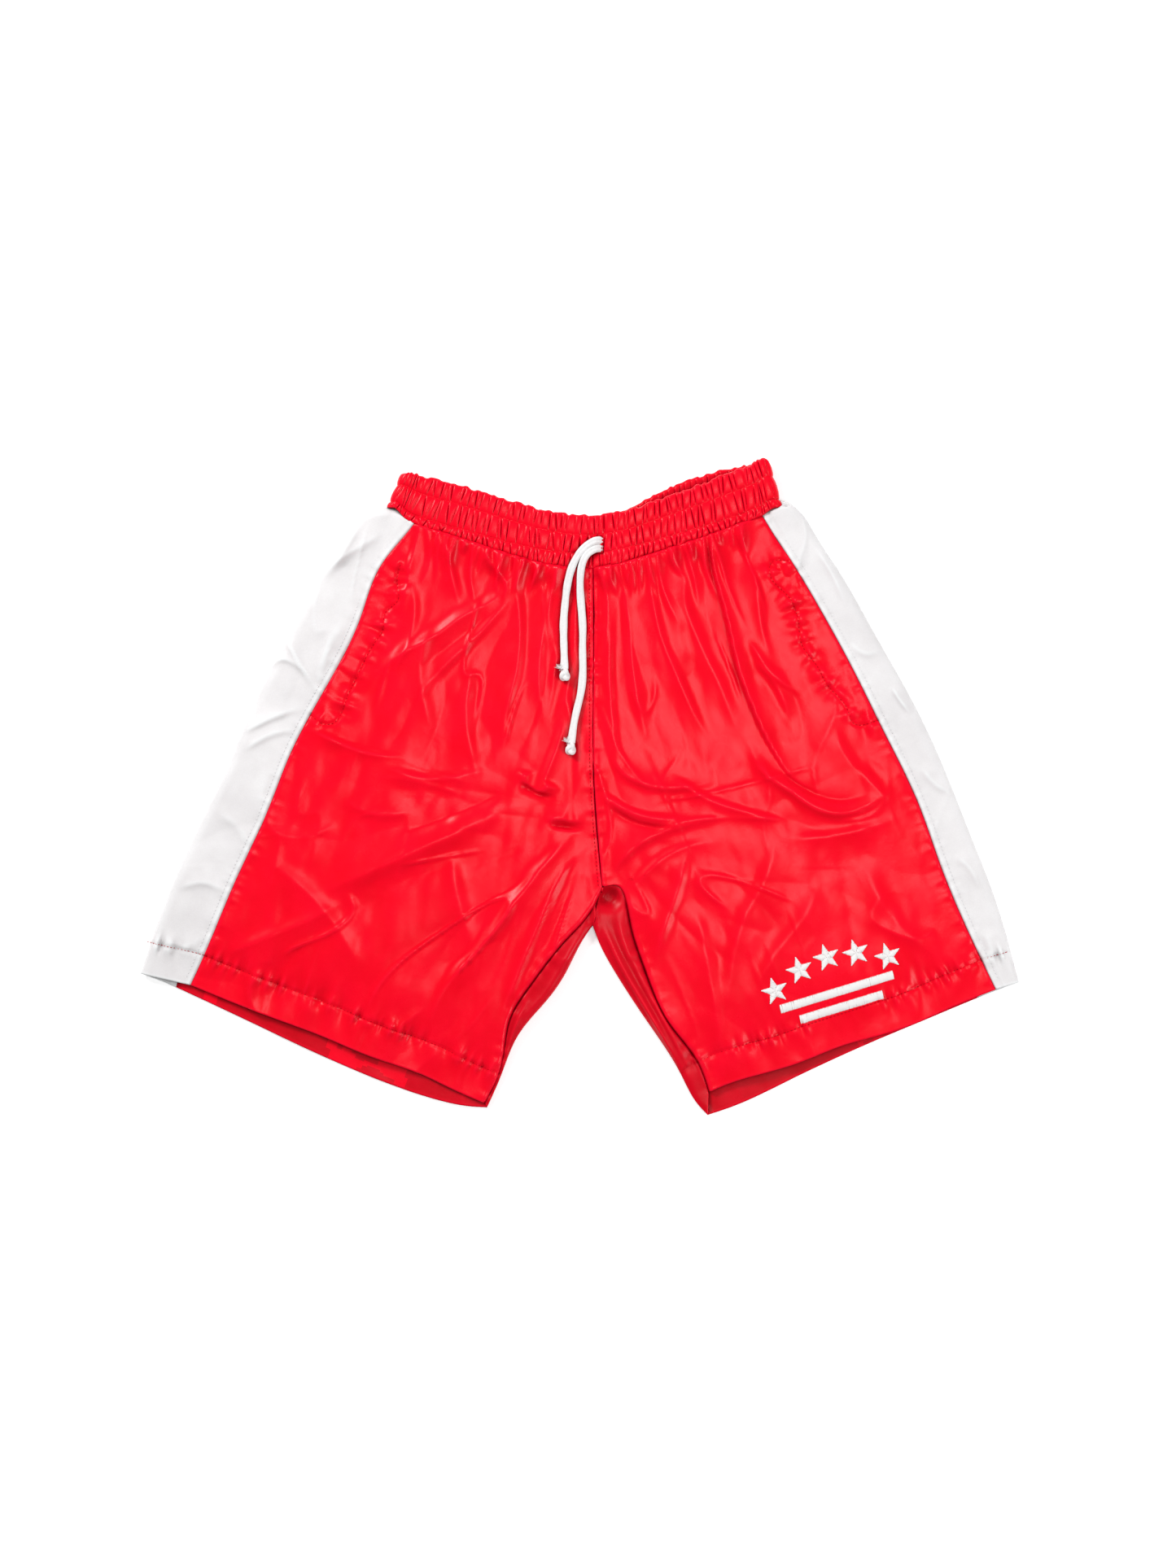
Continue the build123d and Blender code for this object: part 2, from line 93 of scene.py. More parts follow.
INNER_LEG = {
    RIGHT: [CROTCH, (2.5, -135), (-11.9, -163), (-26.3, -184.7), (-55, -220), (-69.5, -254.5), (-82, -283)],
    LEFT: [CROTCH, (16.9, -137), (31.3, -163.8), (60, -207.7), (88.9, -253), (103.3, -279), (113, -289.6)],
}
INSEAM = {
    RIGHT: [(19.8, -88), (11.2, -107.6), (-11.2, -133.6), (-43.6, -174.6), (-62, -206), (-66, -228),
            (-72, -255), (-84, -279)],
    LEFT: [(19.8, -88), (33, -87), (41, -103), (46, -128), (53.5, -151), (64.7, -181), (78, -207.4),
           (93, -227), (106, -247), (113.7, -269)],
}
POCKET_LINE = {
    RIGHT: [(-158, 196), (-161, 179.6), (-160, 165), (-172, 153), (-173, 141.5), (-181, 127), (-188.3, 114.8),
            (-194.8, 101.9), (-207, 73.8), (-218.5, 55.8), (-229, 57), (-237, 64.4)],
    LEFT: [(184, 199), (168.8, 198), (167.4, 186.8), (181, 171), (192.6, 144.4), (196.2, 124.2),
           (207.7, 108.4), (217.8, 90.4), (235.8, 68), (241.6, 55.8), (254, 56), (264, 60)],
}
# How far each stripe reaches round the back, at the waist and at the hem. Both stripes have one cut,
# so the left one, which shows less of itself on the front, goes further round.
STRIPE_WRAP = {RIGHT: (12.0, 31.0), LEFT: (18.0, 37.0)}
HEM_DEPTH = 29.0
TOPSTITCH_INSET = 6.0
RISE_INSET = 3.4

CORD_WIDE, CORD_THICK = 6.5, 3.3
ROUTES = {
    "short": [
        (19.5, 217.2, 13.6), (15.5, 217.2, 16.4), (10.6, 215.6, 17.6), (4.4, 211.4, 17.6),
        (-2.4, 203.4, 17.4), (-8, 191.4, 16.8), (-11.2, 177.4, 14.6), (-13, 162, 13.6),
        (-14.4, 146, 13.6), (-14.2, 129, 13.8), (-13.7, 115.5, 14.6), (-13.4, 104, 15.9),
    ],
    "long": [
        (19.5, 210.2, 13.4), (15.8, 210.4, 16.0), (11.4, 208.8, 17.3), (6, 204.8, 17.6), (2, 197, 17.4),
        (0.4, 186.4, 16.4), (0.2, 173.6, 14.6), (1.4, 158.6, 13.6), (2.8, 140.5, 13.6), (2.3, 121, 13.5),
        (2.9, 102, 13.6), (1.4, 84, 13.5), (-3, 67, 13.8), (-6, 52, 14.8), (-7.4, 39, 15.9),
    ],
}
PULLS = {"short": (-0.25882, -0.96593), "long": (0.0, -1.0)}  # which way each knot slides when it is pulled
PULL_REACH, KNOT_BED = 118.0, 13.4  # how far a pulled knot gets, and what a cord's middle would be at there
CORD_BEDS = []  # the line that each cord and its pulled knot lie along, and the cord's middle height there
for key, route in ROUTES.items():
    end, (pull_x, pull_y) = route[-1], PULLS[key]
    reaches = (1.0, 0.5 * PULL_REACH, PULL_REACH)
    ahead = [(end[0] + t * pull_x, end[1] + t * pull_y, KNOT_BED) for t in reaches]
    spots = np.array([*route[3:-1], *ahead], float)
    CORD_BEDS.append((spots[:, :2], spots[:, 2]))
BED_GAP, BED_REACH, BED_CURVE = 0.1, 12.0, 0.03  # a cord's space over the cloth, and the hollow's shape
UNDER_BAND_TOP = 10.4  # how high the panels reach inside the band

# ---- heights -------------------------------------------------------------------
LOFT_BODY, LOFT_HEM, LOFT_WAIST = 10.6, 6.4, 12.2
HEM_SETTLE, WAIST_RISE = 70.0, 26.0  # how far from the hem and from the band the loft changes
EDGE_ROUND = 8.0  # reach of a folded edge's rounding
BACK_REST = 0.9  # height of the back ply over the surface
CLOTH = 0.45  # thickness of one ply


# ---- curves and noise ------------------------------------------------------------
def smooth(points, count=160):
    """A cubic spline through the points, as evenly spaced samples."""
    pts = np.array(points, float)
    knots = np.concatenate([[0], np.cumsum(np.hypot(*np.diff(pts, axis=0).T))])
    gaps, n = np.diff(knots), len(pts)
    system, right = np.eye(n), np.zeros_like(pts)
    for i in range(1, n - 1):
        system[i, i - 1 : i + 2] = gaps[i - 1], 2 * (gaps[i - 1] + gaps[i]), gaps[i]
        right[i] = 6 * ((pts[i + 1] - pts[i]) / gaps[i] - (pts[i] - pts[i - 1]) / gaps[i - 1])
    bend = np.linalg.solve(system, right)
    t = np.linspace(0, knots[-1], 6 * count)
    k = np.clip(np.searchsorted(knots, t, side="right") - 1, 0, n - 2)
    gap = gaps[k][:, None]
    a, b = (knots[k + 1] - t)[:, None], (t - knots[k])[:, None]
    line = bend[k] * a**3 / (6 * gap) + bend[k + 1] * b**3 / (6 * gap)
    line += (pts[k] / gap - bend[k] * gap / 6) * a + (pts[k + 1] / gap - bend[k + 1] * gap / 6) * b
    return evenly(line, count)


def evenly(line, count):
    """The same line with evenly spaced samples."""
    along = np.concatenate([[0], np.cumsum(np.linalg.norm(np.diff(line, axis=0), axis=1))])
    at = np.linspace(0, along[-1], count)
    return np.stack([np.interp(at, along, line[:, i]) for i in range(line.shape[1])], axis=1)


def join(*lines):
    """Several lines end to end, evenly spaced as one."""
    whole = np.concatenate([lines[0]] + [line[1:] for line in lines[1:]])
    return evenly(whole, 400)


def length_of(line):
    """The length of a sampled line."""
    return float(np.linalg.norm(np.diff(line, axis=0), axis=1).sum())


def nearest(x, y, line):
    """Signed distance to a line, left of it positive, and how far along it the nearest point is."""
    shape = x.shape
    p = np.stack([x.ravel(), y.ravel()], axis=1)
    a, d = line[:-1], np.diff(line, axis=0)
    step = np.linalg.norm(d, axis=1)
    start = np.concatenate([[0], np.cumsum(step)[:-1]])
    best, along = np.full(len(p), 1e9), np.zeros(len(p))
    for i in range(len(a)):
        q = p - a[i]
        t = np.clip(q @ d[i] / (step[i] ** 2 + 1e-12), 0, 1)
        off = q - t[:, None] * d[i]
        size = np.hypot(off[:, 0], off[:, 1])
        closer = size < np.abs(best)
        sign = np.where(d[i, 0] * q[:, 1] - d[i, 1] * q[:, 0] >= 0, 1.0, -1.0)
        best = np.where(closer, size * sign, best)
        along = np.where(closer, start[i] + t * step[i], along)
    return best.reshape(shape), along.reshape(shape)


def value_noise(x, y, size, seed):
    """Smooth noise between -1 and 1 with lumps of about that size."""
    rows, cols = 97, 89
    table = np.random.default_rng(seed).uniform(-1, 1, (rows, cols))
    turn = 0.7 * seed
    u = (x * math.cos(turn) - y * math.sin(turn)) / size + 31.7 * seed
    v = (x * math.sin(turn) + y * math.cos(turn)) / size + 17.3 * seed
    i, j = np.floor(u).astype(int), np.floor(v).astype(int)
    f, g = u - i, v - j
    f, g = (t * t * t * (t * (6 * t - 15) + 10) for t in (f, g))

    def corner(a, b):
        return table[(i + a) % rows, (j + b) % cols]

    low = corner(0, 0) * (1 - f) + corner(1, 0) * f
    high = corner(0, 1) * (1 - f) + corner(1, 1) * f
    return 1.6 * (low * (1 - g) + high * g)


def wave(along, pitch, seed):
    """Uneven ripples along a line, between about -1 and 1."""
    return value_noise(along, 0 * along, 0.62 * pitch, seed)


def ease(t):
    """Smooth from 0 to 1 as t goes from 0 to 1."""
    t = np.clip(t, 0, 1)
    return t * t * (3 - 2 * t)


def bell(d, width):
    """A bump that has that half width."""
    return np.exp(-((d / width) ** 2))


def crest(d, width):
    """A sharper bump, as thin satin makes when it creases."""
    return np.exp(-((np.abs(d) / width) ** 1.25))


# ---- folds, listed one by one: height, half width, then the line it follows --------
FOLDS = {
    RIGHT: [
        (2.8, 8, [(-58, 184), (-68, 171), (-100, 152), (-131, 131), (-160, 115), (-178, 98), (-192, 78)]),
        (-1.2, 7, [(-60, 168), (-92, 142), (-125, 117), (-150, 100)]),
        (1.7, 6, [(-50, 176), (-64, 163), (-92, 132), (-118, 108), (-138, 84), (-152, 56)]),
        (2.8, 5, [(-118, 222), (-116, 205), (-112, 185), (-106, 158)]),
        (2.6, 4.5, [(-84, 214), (-80, 200), (-72, 190), (-64.6, 177), (-70, 160)]),
        (2.8, 7, [(-58, 204), (-55, 169), (-53, 135), (-57, 98), (-66, 60), (-68, 14)]),
        (2.2, 8, [(-92, 118), (-100, 68), (-97, 37), (-86, -6)]),
        (-3.6, 3.2, [(-54, 5), (-44, -2), (-34, -7), (-20, -9)]),
        (3.2, 5, [(-58, 13), (-42, 7), (-30, 1), (-14, -2)]),
        (3.4, 13, [(-52, -10), (-80, -26), (-110, -40), (-150, -58), (-200, -80), (-254, -102)]),
        (-1.8, 7, [(-60, 0), (-95, -17), (-130, -31), (-168, -45)]),
        (-2.6, 2.6, [(-28, -34), (-12, -35), (4, -38)]),
        (2.2, 4, [(-32, -28), (-12, -28), (6, -31)]),
        (3.2, 7.5, [(4, -30), (-20, -56), (-38, -76), (-66, -113), (-97, -151), (-119, -178), (-138, -228)]),
        (2.6, 6.5, [(6, -46), (-20, -83), (-36, -118), (-50, -151), (-66, -192), (-80, -224)]),
        (2.2, 9, [(-114, -52), (-110, -85), (-104, -110), (-94, -148)]),
        (2.2, 4, [(-242, 53), (-210, 38), (-187, 30), (-150, 26)]),
        (1.8, 8, [(-322, -152), (-280, -134), (-239, -117), (-198, -96)]),
        (2.0, 10, [(-282, -60), (-250, -84), (-214, -124), (-190, -168)]),
        (2.2, 6, [(-36, 200), (-32, 150), (-36, 100), (-29, 46)]),
        (1.7, 9, [(-126, 154), (-140, 110), (-136, 70), (-120, 28)]),
        (1.6, 6, [(-150, 190), (-146, 150), (-155, 120), (-174, 88)]),
        (1.7, 7, [(-18, 184), (-22, 120), (-8, 60), (-2, -2)]),
        (1.9, 5, [(-12, 62), (-26, 20), (-42, -14)]),
        (1.6, 5, [(-176, 20), (-140, 8), (-104, 10), (-72, 18)]),
        (1.5, 7, [(-210, -10), (-176, -24), (-140, -18)]),
    ],
    LEFT: [
        (2.3, 8, [(96, 204), (92, 170), (104, 130), (122, 92), (134, 60), (140, 38)]),
        (2.6, 6, [(38, 192), (40, 169), (44, 135), (48, 94), (64, 28)]),
        (2.5, 6, [(58, 204), (64, 165), (70.5, 135), (89, 90), (108, 52), (124, 32)]),
        (2.2, 5, [(147, 134), (172, 98), (198, 80)]),
        (1.9, 4.5, [(150, 116), (174, 88), (186, 56)]),
        (3.4, 6, [(148, 44), (161, 15), (187, -4), (210, -19), (229, -23), (255, -15), (280, 5)]),
        (-2.2, 5, [(168, 20), (190, 4), (212, -8), (232, -11), (258, -3)]),
        (2.8, 3.5, [(16, -2), (40, -19), (66, -27), (100, -27)]),
        (-2.4, 3, [(20, -12), (42, -28), (66, -35), (94, -35)]),
        (2.4, 5, [(26, 30), (40, 12), (60, 2), (88, 0), (122, 5)]),
        (2.4, 6, [(24, -82), (40, -60), (62, -44), (92, -33), (132, -26)]),
        (2.1, 9, [(174, -34), (164, -79), (146, -113), (134, -158), (127, -204)]),
        (2.1, 8, [(181, -46), (215, -44), (247, -38), (284, -26)]),
        (2.6, 7, [(96, -46), (86, -90), (72, -130), (64, -166)]),
        (1.9, 6, [(42, -96), (62, -72), (90, -54), (124, -48)]),
        (1.5, 5, [(195, 142), (206, 110), (226, 86), (250, 69)]),
        (1.7, 9, [(224, 62), (232, 30), (250, 10), (284, -24)]),
        (2.0, 12, [(248, -58), (262, -95), (290, -130), (332, -162)]),
        (1.9, 5, [(28, 156), (26, 100), (30, 50), (36, 8)]),
        (1.7, 10, [(150, -194), (170, -150), (200, -110), (216, -66)]),
        (1.9, 8, [(100, -98), (112, -150), (120, -200), (128, -244)]),
        (2.5, 4, [(78, 12), (110, -9), (140, -20), (184, -31)]),
        (1.7, 5, [(150, 204), (156, 170), (160, 140), (171, 106)]),
        (2.8, 3, [(23, -98), (35, -128), (56, -172), (82, -220), (104, -262)]),
        (2.6, 2.4, [(17, -114), (29, -142), (52, -184), (79, -230), (100, -268)]),
    ],
}
STRIPE_FOLDS = {
    RIGHT: [
        (1.8, 3.6, [(-260, 134), (-247, 109), (-231, 84)]),
        (1.7, 3.6, [(-283, 100), (-262, 113), (-238, 97)]),
        (2.1, 4, [(-299, 47), (-273.5, 60), (-242, 72)]),
        (1.6, 4, [(-298, 31), (-273, 46), (-246, 52)]),
        (2.4, 7, [(-240, 178), (-202, 207), (-168, 228)]),
        (2.1, 6, [(-219, 192), (-206, 212), (-193, 236)]),
        (1.6, 5, [(-208, 150), (-222, 122), (-234, 94)]),
        (1.3, 7, [(-322, -20), (-300, -36), (-288, -70)]),
        (1.2, 6, [(-368, -130), (-346, -140), (-330, -128)]),
        (1.4, 5, [(-356, -90), (-330, -84), (-308, -96)]),
    ],
    LEFT: [
        (1.8, 3, [(274, 90), (281, 78), (292, 64)]),
        (1.6, 5, [(206, 214), (222, 188), (236, 156)]),
        (1.4, 5, [(236, 130), (252, 118), (266, 122)]),
        (1.5, 5, [(300, 20), (312, 4), (330, -6)]),
        (1.4, 5, [(330, -60), (344, -72), (352, -92)]),
        (1.2, 6, [(356, -124), (362, -140), (378, -150)]),
    ],
}
PLEAT = [(114, 220), (118.4, 191), (126.4, 161), (132.8, 134), (140.8, 100.4), (150.8, 73.8), (160.9, 50),
         (173.2, 27.7), (186.8, 9), (203, -1), (228, -7)]
PLEAT_HEIGHT, PLEAT_WIDTH, PLEAT_STEP = 5.2, 10.0, 0.9
GATHERS_PER_LEG = 34
GAP_AT, GAP_WIDE = (26.0, -97.0), 9.0  # the small dark opening where the legs part
GAP_DEPTH, GAP_LIFT = 9.0, 2.2
FOLD_GAIN = 1.3  # what every fold's listed height is multiplied by
INSEAM_DROP = 3.0  # how far the inner leg lies under the front panel's edge


def gathers(side):
    """Short folds that hang from the band, closer and deeper where it pulls the cloth in."""
    rng = np.random.default_rng(40 + side)
    band = smooth(BAND_LOW, 400)
    middle, end = (0.52, 0.90) if side == LEFT else (0.50, 0.10)
    folds = []
    for share in np.linspace(middle, end, GATHERS_PER_LEG):
        x, y = band[int((share + rng.uniform(-0.006, 0.006)) * 399)]
        reach = rng.choice([14, 22, 34, 58, 80], p=[0.3, 0.28, 0.2, 0.14, 0.08]) * rng.uniform(0.8, 1.2)
        lean = side * 0.22 + rng.uniform(-0.28, 0.28)
        bow = rng.uniform(-0.12, 0.12) * reach
        line = [(x, y + 8), (x + 0.5 * lean * reach + bow, y - 0.5 * reach), (x + lean * reach, y - reach)]
        folds.append((rng.uniform(1.2, 2.7), rng.uniform(2.2, 3.8) + 0.02 * reach, line))
    return folds


GATHERS = {side: gathers(side) for side in (RIGHT, LEFT)}


def fold_relief(x, y, folds, from_top=False):
    """The height that a list of folds adds at each point."""
    z = np.zeros_like(x)
    for height, width, points in folds:
        line = smooth(points, 40)
        reach = 3.2 * width
        low, high = line.min(0) - reach, line.max(0) + reach
        near = (x > low[0]) & (x < high[0]) & (y > low[1]) & (y < high[1])
        if not near.any():
            continue
        off, along = nearest(x[near], y[near], line)
        t = along / length_of(line)
        fade = ease((1 - t) / 0.6) if from_top else ease(t / 0.28) * ease((1 - t) / 0.4)
        lean = 1 + 0.5 * np.tanh(off / width) * (1 if len(points) % 2 else -1)
        z[near] += FOLD_GAIN * height * fade * crest(off / lean, width)
    return z


LINES = {}
for side in (RIGHT, LEFT):
    centre = smooth(CENTRE_SEAM)
    LINES[side] = {
        "centre": centre,
        "side": smooth(SIDE[side], 400),
        "stripe": smooth(STRIPE_SEAM[side], 400),
        "back_hem": smooth(BACK_HEM[side], 200),
        "front_hem": smooth(FRONT_HEM[side], 200),
        "inner_leg": smooth(INNER_LEG[side], 200),
        "inseam": smooth(INSEAM[side], 200),
        "front_inner": join(centre, smooth(INSEAM[side])),
        "back_inner": join(centre, smooth(INNER_LEG[side])),
        "pocket": smooth(POCKET_LINE[side], 200),
        "band": smooth(BAND_LOW, 200),
    }
    stripe_hem = evenly(np.array([SIDE[side][-1], STRIPE_SEAM[side][-1]], float), 40)
    LINES[side]["whole_hem"] = join(stripe_hem, smooth(FRONT_HEM[side]))
    LINES[side]["silhouette"] = [LINES[side]["side"], LINES[side]["inner_leg"]]
PLEAT_LINE = smooth(PLEAT, 200)


def loft(x, y, side):
    """Height of the front ply before its folds."""
    from_hem = np.abs(nearest(x, y, LINES[side]["whole_hem"])[0])
    from_band = np.abs(nearest(x, y, LINES[side]["band"])[0])
    z = LOFT_HEM + (LOFT_BODY - LOFT_HEM) * ease(from_hem / HEM_SETTLE)
    return z + (LOFT_WAIST - LOFT_BODY) * (1 - ease(from_band / WAIST_RISE))


def edge_share(x, y, side):
    """0 at a folded edge and 1 inside, along a quarter round."""
    reach = np.full_like(x, 1e9)
    for line in LINES[side]["silhouette"]:
        reach = np.minimum(reach, np.abs(nearest(x, y, line)[0]))
    q = 1 - np.clip(reach / EDGE_ROUND, 0, 1)
    return np.sqrt(np.clip(1 - q * q, 0, 1))


FAN_FROM, FAN_SPREAD = (12.0, -34.0), 150.0  # the creases of the lower half fan out from the crotch


def crinkle(x, y, side):
    """The soft, creased unevenness of thin satin that has been packed flat."""
    along = -side * 0.3 * x + 0.95 * y
    across = 0.95 * x + side * 0.3 * y
    around = FAN_SPREAD * np.arctan2(y - FAN_FROM[1], side * (x - FAN_FROM[0]))
    reach = np.hypot(x - FAN_FROM[0], y - FAN_FROM[1])
    fan = ease((reach - 30) / 70) * ease((60 - y) / 110)
    z = 1.0 * value_noise(across, 0.4 * along, 44, 3 + side)
    hung = 1 - np.abs(value_noise(across, 0.26 * along, 27, 12 + side))
    z += 1.5 * hung**8 * ease(0.5 + value_noise(x, y, 60, 15)) * (1 - 0.7 * fan)
    fanned = 1 - np.abs(value_noise(around, 0.3 * reach, 30, 19 + side))
    z += 1.9 * fanned**8 * ease(0.6 + value_noise(x, y, 50, 21)) * fan
    z += 0.8 * np.abs(value_noise(across, 0.3 * along, 25, 8 + side)) * (1 - fan)
    z += 0.9 * np.abs(value_noise(around, 0.25 * reach, 26, 9 + side)) * fan
    z += 0.22 * value_noise(across, 0.5 * along, 9, 24)
    return z


BARS_AT, BARS_REACH = (230.0, -193.0), 46.0  # where the embroidery's backing keeps the hem flat


def seam_relief(x, y, side):
    """The pinch of each seam and row of stitching, and the puckers across it."""
    z = np.zeros_like(x)
    lines = LINES[side]
    off, along = nearest(x, y, lines["stripe"])
    z += -0.7 * bell(off, 1.3) + 0.42 * wave(along, 7.5, 31) * bell(off, 8)
    beside = np.abs(off) - TOPSTITCH_INSET
    outside = (off * side > 0).astype(float)
    z += -0.35 * bell(beside, 1.0) * outside
    off, along = nearest(x, y, lines["whole_hem"])
    row = np.abs(off) - HEM_DEPTH
    held = 1 - bell(np.hypot(x - BARS_AT[0], 1.6 * (y - BARS_AT[1])), BARS_REACH)
    z += held * (-0.95 * bell(row, 1.3) + 1.7 * wave(along, 6.5, 33) * bell(row, 7))
    z += held * 1.1 * wave(along + 0.25 * np.abs(off), 17, 34) * bell(row, 20)
    z += 0.8 * wave(along, 46, 35) * bell(off, 14)
    off, along = nearest(x, y, lines["centre"])
    z += -0.45 * bell(off, 1.3) + 0.6 * wave(along, 8, 36) * bell(off, 7)
    z += -0.3 * bell(np.abs(off) - RISE_INSET, 0.9)
    off, along = nearest(x, y, lines["pocket"])
    z += -1.1 * bell(off, 1.5) + 1.7 * wave(along, 9.5, 37) * bell(off, 9)
    off, along = nearest(x, y, lines["inseam"])
    z += 0.4 * wave(along, 9, 38) * bell(off, 8)
    return z


def front_height(x, y, side):
    """Height of the cloth's upper face anywhere on the front."""
    x, y = np.asarray(x, float), np.asarray(y, float)
    body = loft(x, y, side)
    z = body + crinkle(x, y, side) + seam_relief(x, y, side)
    z += fold_relief(x, y, FOLDS[side]) + fold_relief(x, y, GATHERS[side], from_top=True)
    stripe_off = nearest(x, y, LINES[side]["stripe"])[0] * side
    z += fold_relief(x, y, STRIPE_FOLDS[side])
    z -= 0.8 * crinkle(x, y, side) * ease(stripe_off / 12) * 0.35
    if side == LEFT:
        off, along = nearest(x, y, PLEAT_LINE)
        t = along / length_of(PLEAT_LINE)
        rise = np.where(off > 0, np.exp(-off / PLEAT_WIDTH), np.exp(-((off / PLEAT_STEP) ** 2)))
        z += PLEAT_HEIGHT * rise * ease(t / 0.06) * ease((1 - t) / 0.5)
    off, along = nearest(x, y, LINES[side]["inseam"])
    below = CENTRE_SEAM[-1][1] + (4 if side == LEFT else -4)
    inner_side = (off * side < 0) & (y < below)
    drop = INSEAM_DROP * np.where(inner_side, 1 - 0.3 * ease(np.abs(off) / 14), bell(off, 1.6))
    z -= drop * ease((-84 - y) / 16)
    gap = bell(np.hypot(x - GAP_AT[0], y - GAP_AT[1]), GAP_WIDE)
    z += np.where(inner_side, -GAP_DEPTH, GAP_LIFT) * gap
    middle = 0.5 * (body + BACK_REST)
    z = middle + (z - middle) * edge_share(x, y, side)
    under_band = ease((nearest(x, y, LINES[side]["band"])[0] - 0.5) / 3.5)
    z -= under_band * np.maximum(z - UNDER_BAND_TOP, 0)
    for bed, heights in CORD_BEDS:
        off, along = nearest(x, y, bed)
        knots = np.concatenate([[0], np.cumsum(np.linalg.norm(np.diff(bed, axis=0), axis=1))])
        limit = np.interp(along, knots, heights) - CORD_THICK / 2 - BED_GAP
        z = np.where(np.abs(off) < BED_REACH, np.minimum(z, limit + BED_CURVE * off**2), z)
    return np.maximum(z, BACK_REST + 2 * CLOTH + 0.4)


def back_height(x, y, side):
    """Height of the cloth's lower face anywhere on the back."""
    x, y = np.asarray(x, float), np.asarray(y, float)
    body = loft(x, y, side)
    rough = np.abs(crinkle(x + 400, y, side))
    off, along = nearest(x, y, LINES[side]["back_hem"])
    row = np.abs(off) - HEM_DEPTH
    pinch = 0.5 * bell(row, 1.2) + 0.3 * (1 + wave(along, 6.5, 43)) * bell(row, 6)
    seam = 0.6 * bell(nearest(x, y, LINES[side]["centre"])[0], 1.4)
    z = BACK_REST + 0.42 * rough + pinch + seam
    middle = 0.5 * (body + BACK_REST)
    return middle + (z - middle) * edge_share(x, y, side)


# ---- meshes ----------------------------------------------------------------------
def coons(top, bottom, left, right, rows, cols, ease_right=False):
    """A grid of points filling four edges. Top and bottom run from left to right, the others from the top."""
    across = np.linspace(0, 1, cols)
    if ease_right:
        across = 1 - (1 - across) ** 2
    down = np.linspace(0, 1, rows)

    def at(line, shares):
        line = evenly(np.array(line, float), max(len(line), 3))
        index = np.linspace(0, 1, len(line))
        return np.stack([np.interp(shares, index, line[:, i]) for i in (0, 1)], axis=1)

    t, b, l, r = at(top, across), at(bottom, across), at(left, down), at(right, down)
    u, v = across[None, :, None], down[:, None, None]
    grid = (1 - v) * t[None] + v * b[None] + (1 - u) * l[:, None] + u * r[:, None]
    corners = (1 - u) * (1 - v) * t[0] + u * (1 - v) * t[-1] + (1 - u) * v * b[0] + u * v * b[-1]
    grid = grid - corners
    return grid[..., 0], grid[..., 1]


def grid_faces(rows, cols, first=0, around=False):
    """The quads of a grid of points, closed round its columns if asked."""
    i, j = np.meshgrid(np.arange(rows - 1), np.arange(cols if around else cols - 1), indexing="ij")
    k = (j + 1) % cols
    quads = np.stack([i * cols + j, (i + 1) * cols + j, (i + 1) * cols + k, i * cols + k], axis=-1)
    return first + quads.reshape(-1, 4)


def new_mesh(name, points, faces):
    """A mesh object from points in millimetres and quads."""
    mesh = bpy.data.meshes.new(name)
    mesh.vertices.add(len(points))
    mesh.vertices.foreach_set("co", (np.asarray(points, float) * MM).ravel())
    mesh.loops.add(4 * len(faces))
    mesh.loops.foreach_set("vertex_index", np.asarray(faces).ravel())
    mesh.polygons.add(len(faces))
    mesh.polygons.foreach_set("loop_start", 4 * np.arange(len(faces)))
    mesh.update(calc_edges=True)
    mesh.validate()
    obj = bpy.data.objects.new(name, mesh)
    bpy.context.scene.collection.objects.link(obj)
    return obj


def shade_smooth(obj):
    """Smooth shading on every face."""
    obj.data.polygons.foreach_set("use_smooth", np.ones(len(obj.data.polygons), bool))
    obj.data.update()


def weld(obj, gap=0.02):
    """Joins points that lie together, and turns all faces the same way."""
    work = bmesh.new()
    work.from_mesh(obj.data)
    bmesh.ops.remove_doubles(work, verts=work.verts, dist=gap * MM)
    bmesh.ops.dissolve_degenerate(work, edges=work.edges, dist=1e-7)
    bmesh.ops.recalc_face_normals(work, faces=work.faces)
    work.to_mesh(obj.data)
    work.free()


def apply_modifiers(obj):
    """Bakes an object's modifiers into its mesh."""
    seen = obj.evaluated_get(bpy.context.evaluated_depsgraph_get())
    mesh = bpy.data.meshes.new_from_object(seen)
    obj.modifiers.clear()
    obj.data = mesh


def face_out(obj, up):
    """Turns a sheet's faces so that the ones near its outer side look up, or down."""
    normals = np.zeros(3 * len(obj.data.polygons))
    obj.data.polygons.foreach_get("normal", normals)
    middles = np.zeros(3 * len(obj.data.polygons))
    obj.data.polygons.foreach_get("center", middles)
    z, height = normals[2::3], middles[2::3]
    outer = height > np.median(height) if up else height < np.median(height)
    if (z[outer].mean() > 0) != up:
        obj.data.flip_normals()


def thicken(obj, thick, hem=None, hem_thick=1.0):
    """Gives a sheet its thickness behind its faces, more at its hem."""
    group = obj.vertex_groups.new(name="hem")
    low = thick / hem_thick
    co = np.zeros(3 * len(obj.data.vertices))
    obj.data.vertices.foreach_get("co", co)
    co = co.reshape(-1, 3) / MM
    near = np.zeros(len(co))
    if hem is not None:
        near = 1 - ease((np.abs(nearest(co[:, 0], co[:, 1], hem)[0]) - HEM_DEPTH + 1) / 2.0)
    for share in (0.0, 1.0):
        chosen = np.nonzero(near > 0.5)[0] if share else np.nonzero(near <= 0.5)[0]
        group.add([int(i) for i in chosen], 1.0 if share else low, "REPLACE")
    solid = obj.modifiers.new("cloth", "SOLIDIFY")
    solid.thickness = hem_thick * MM
    solid.offset = -1
    solid.vertex_group = "hem"
    solid.use_even_offset = False
    apply_modifiers(obj)
    obj.vertex_groups.clear()


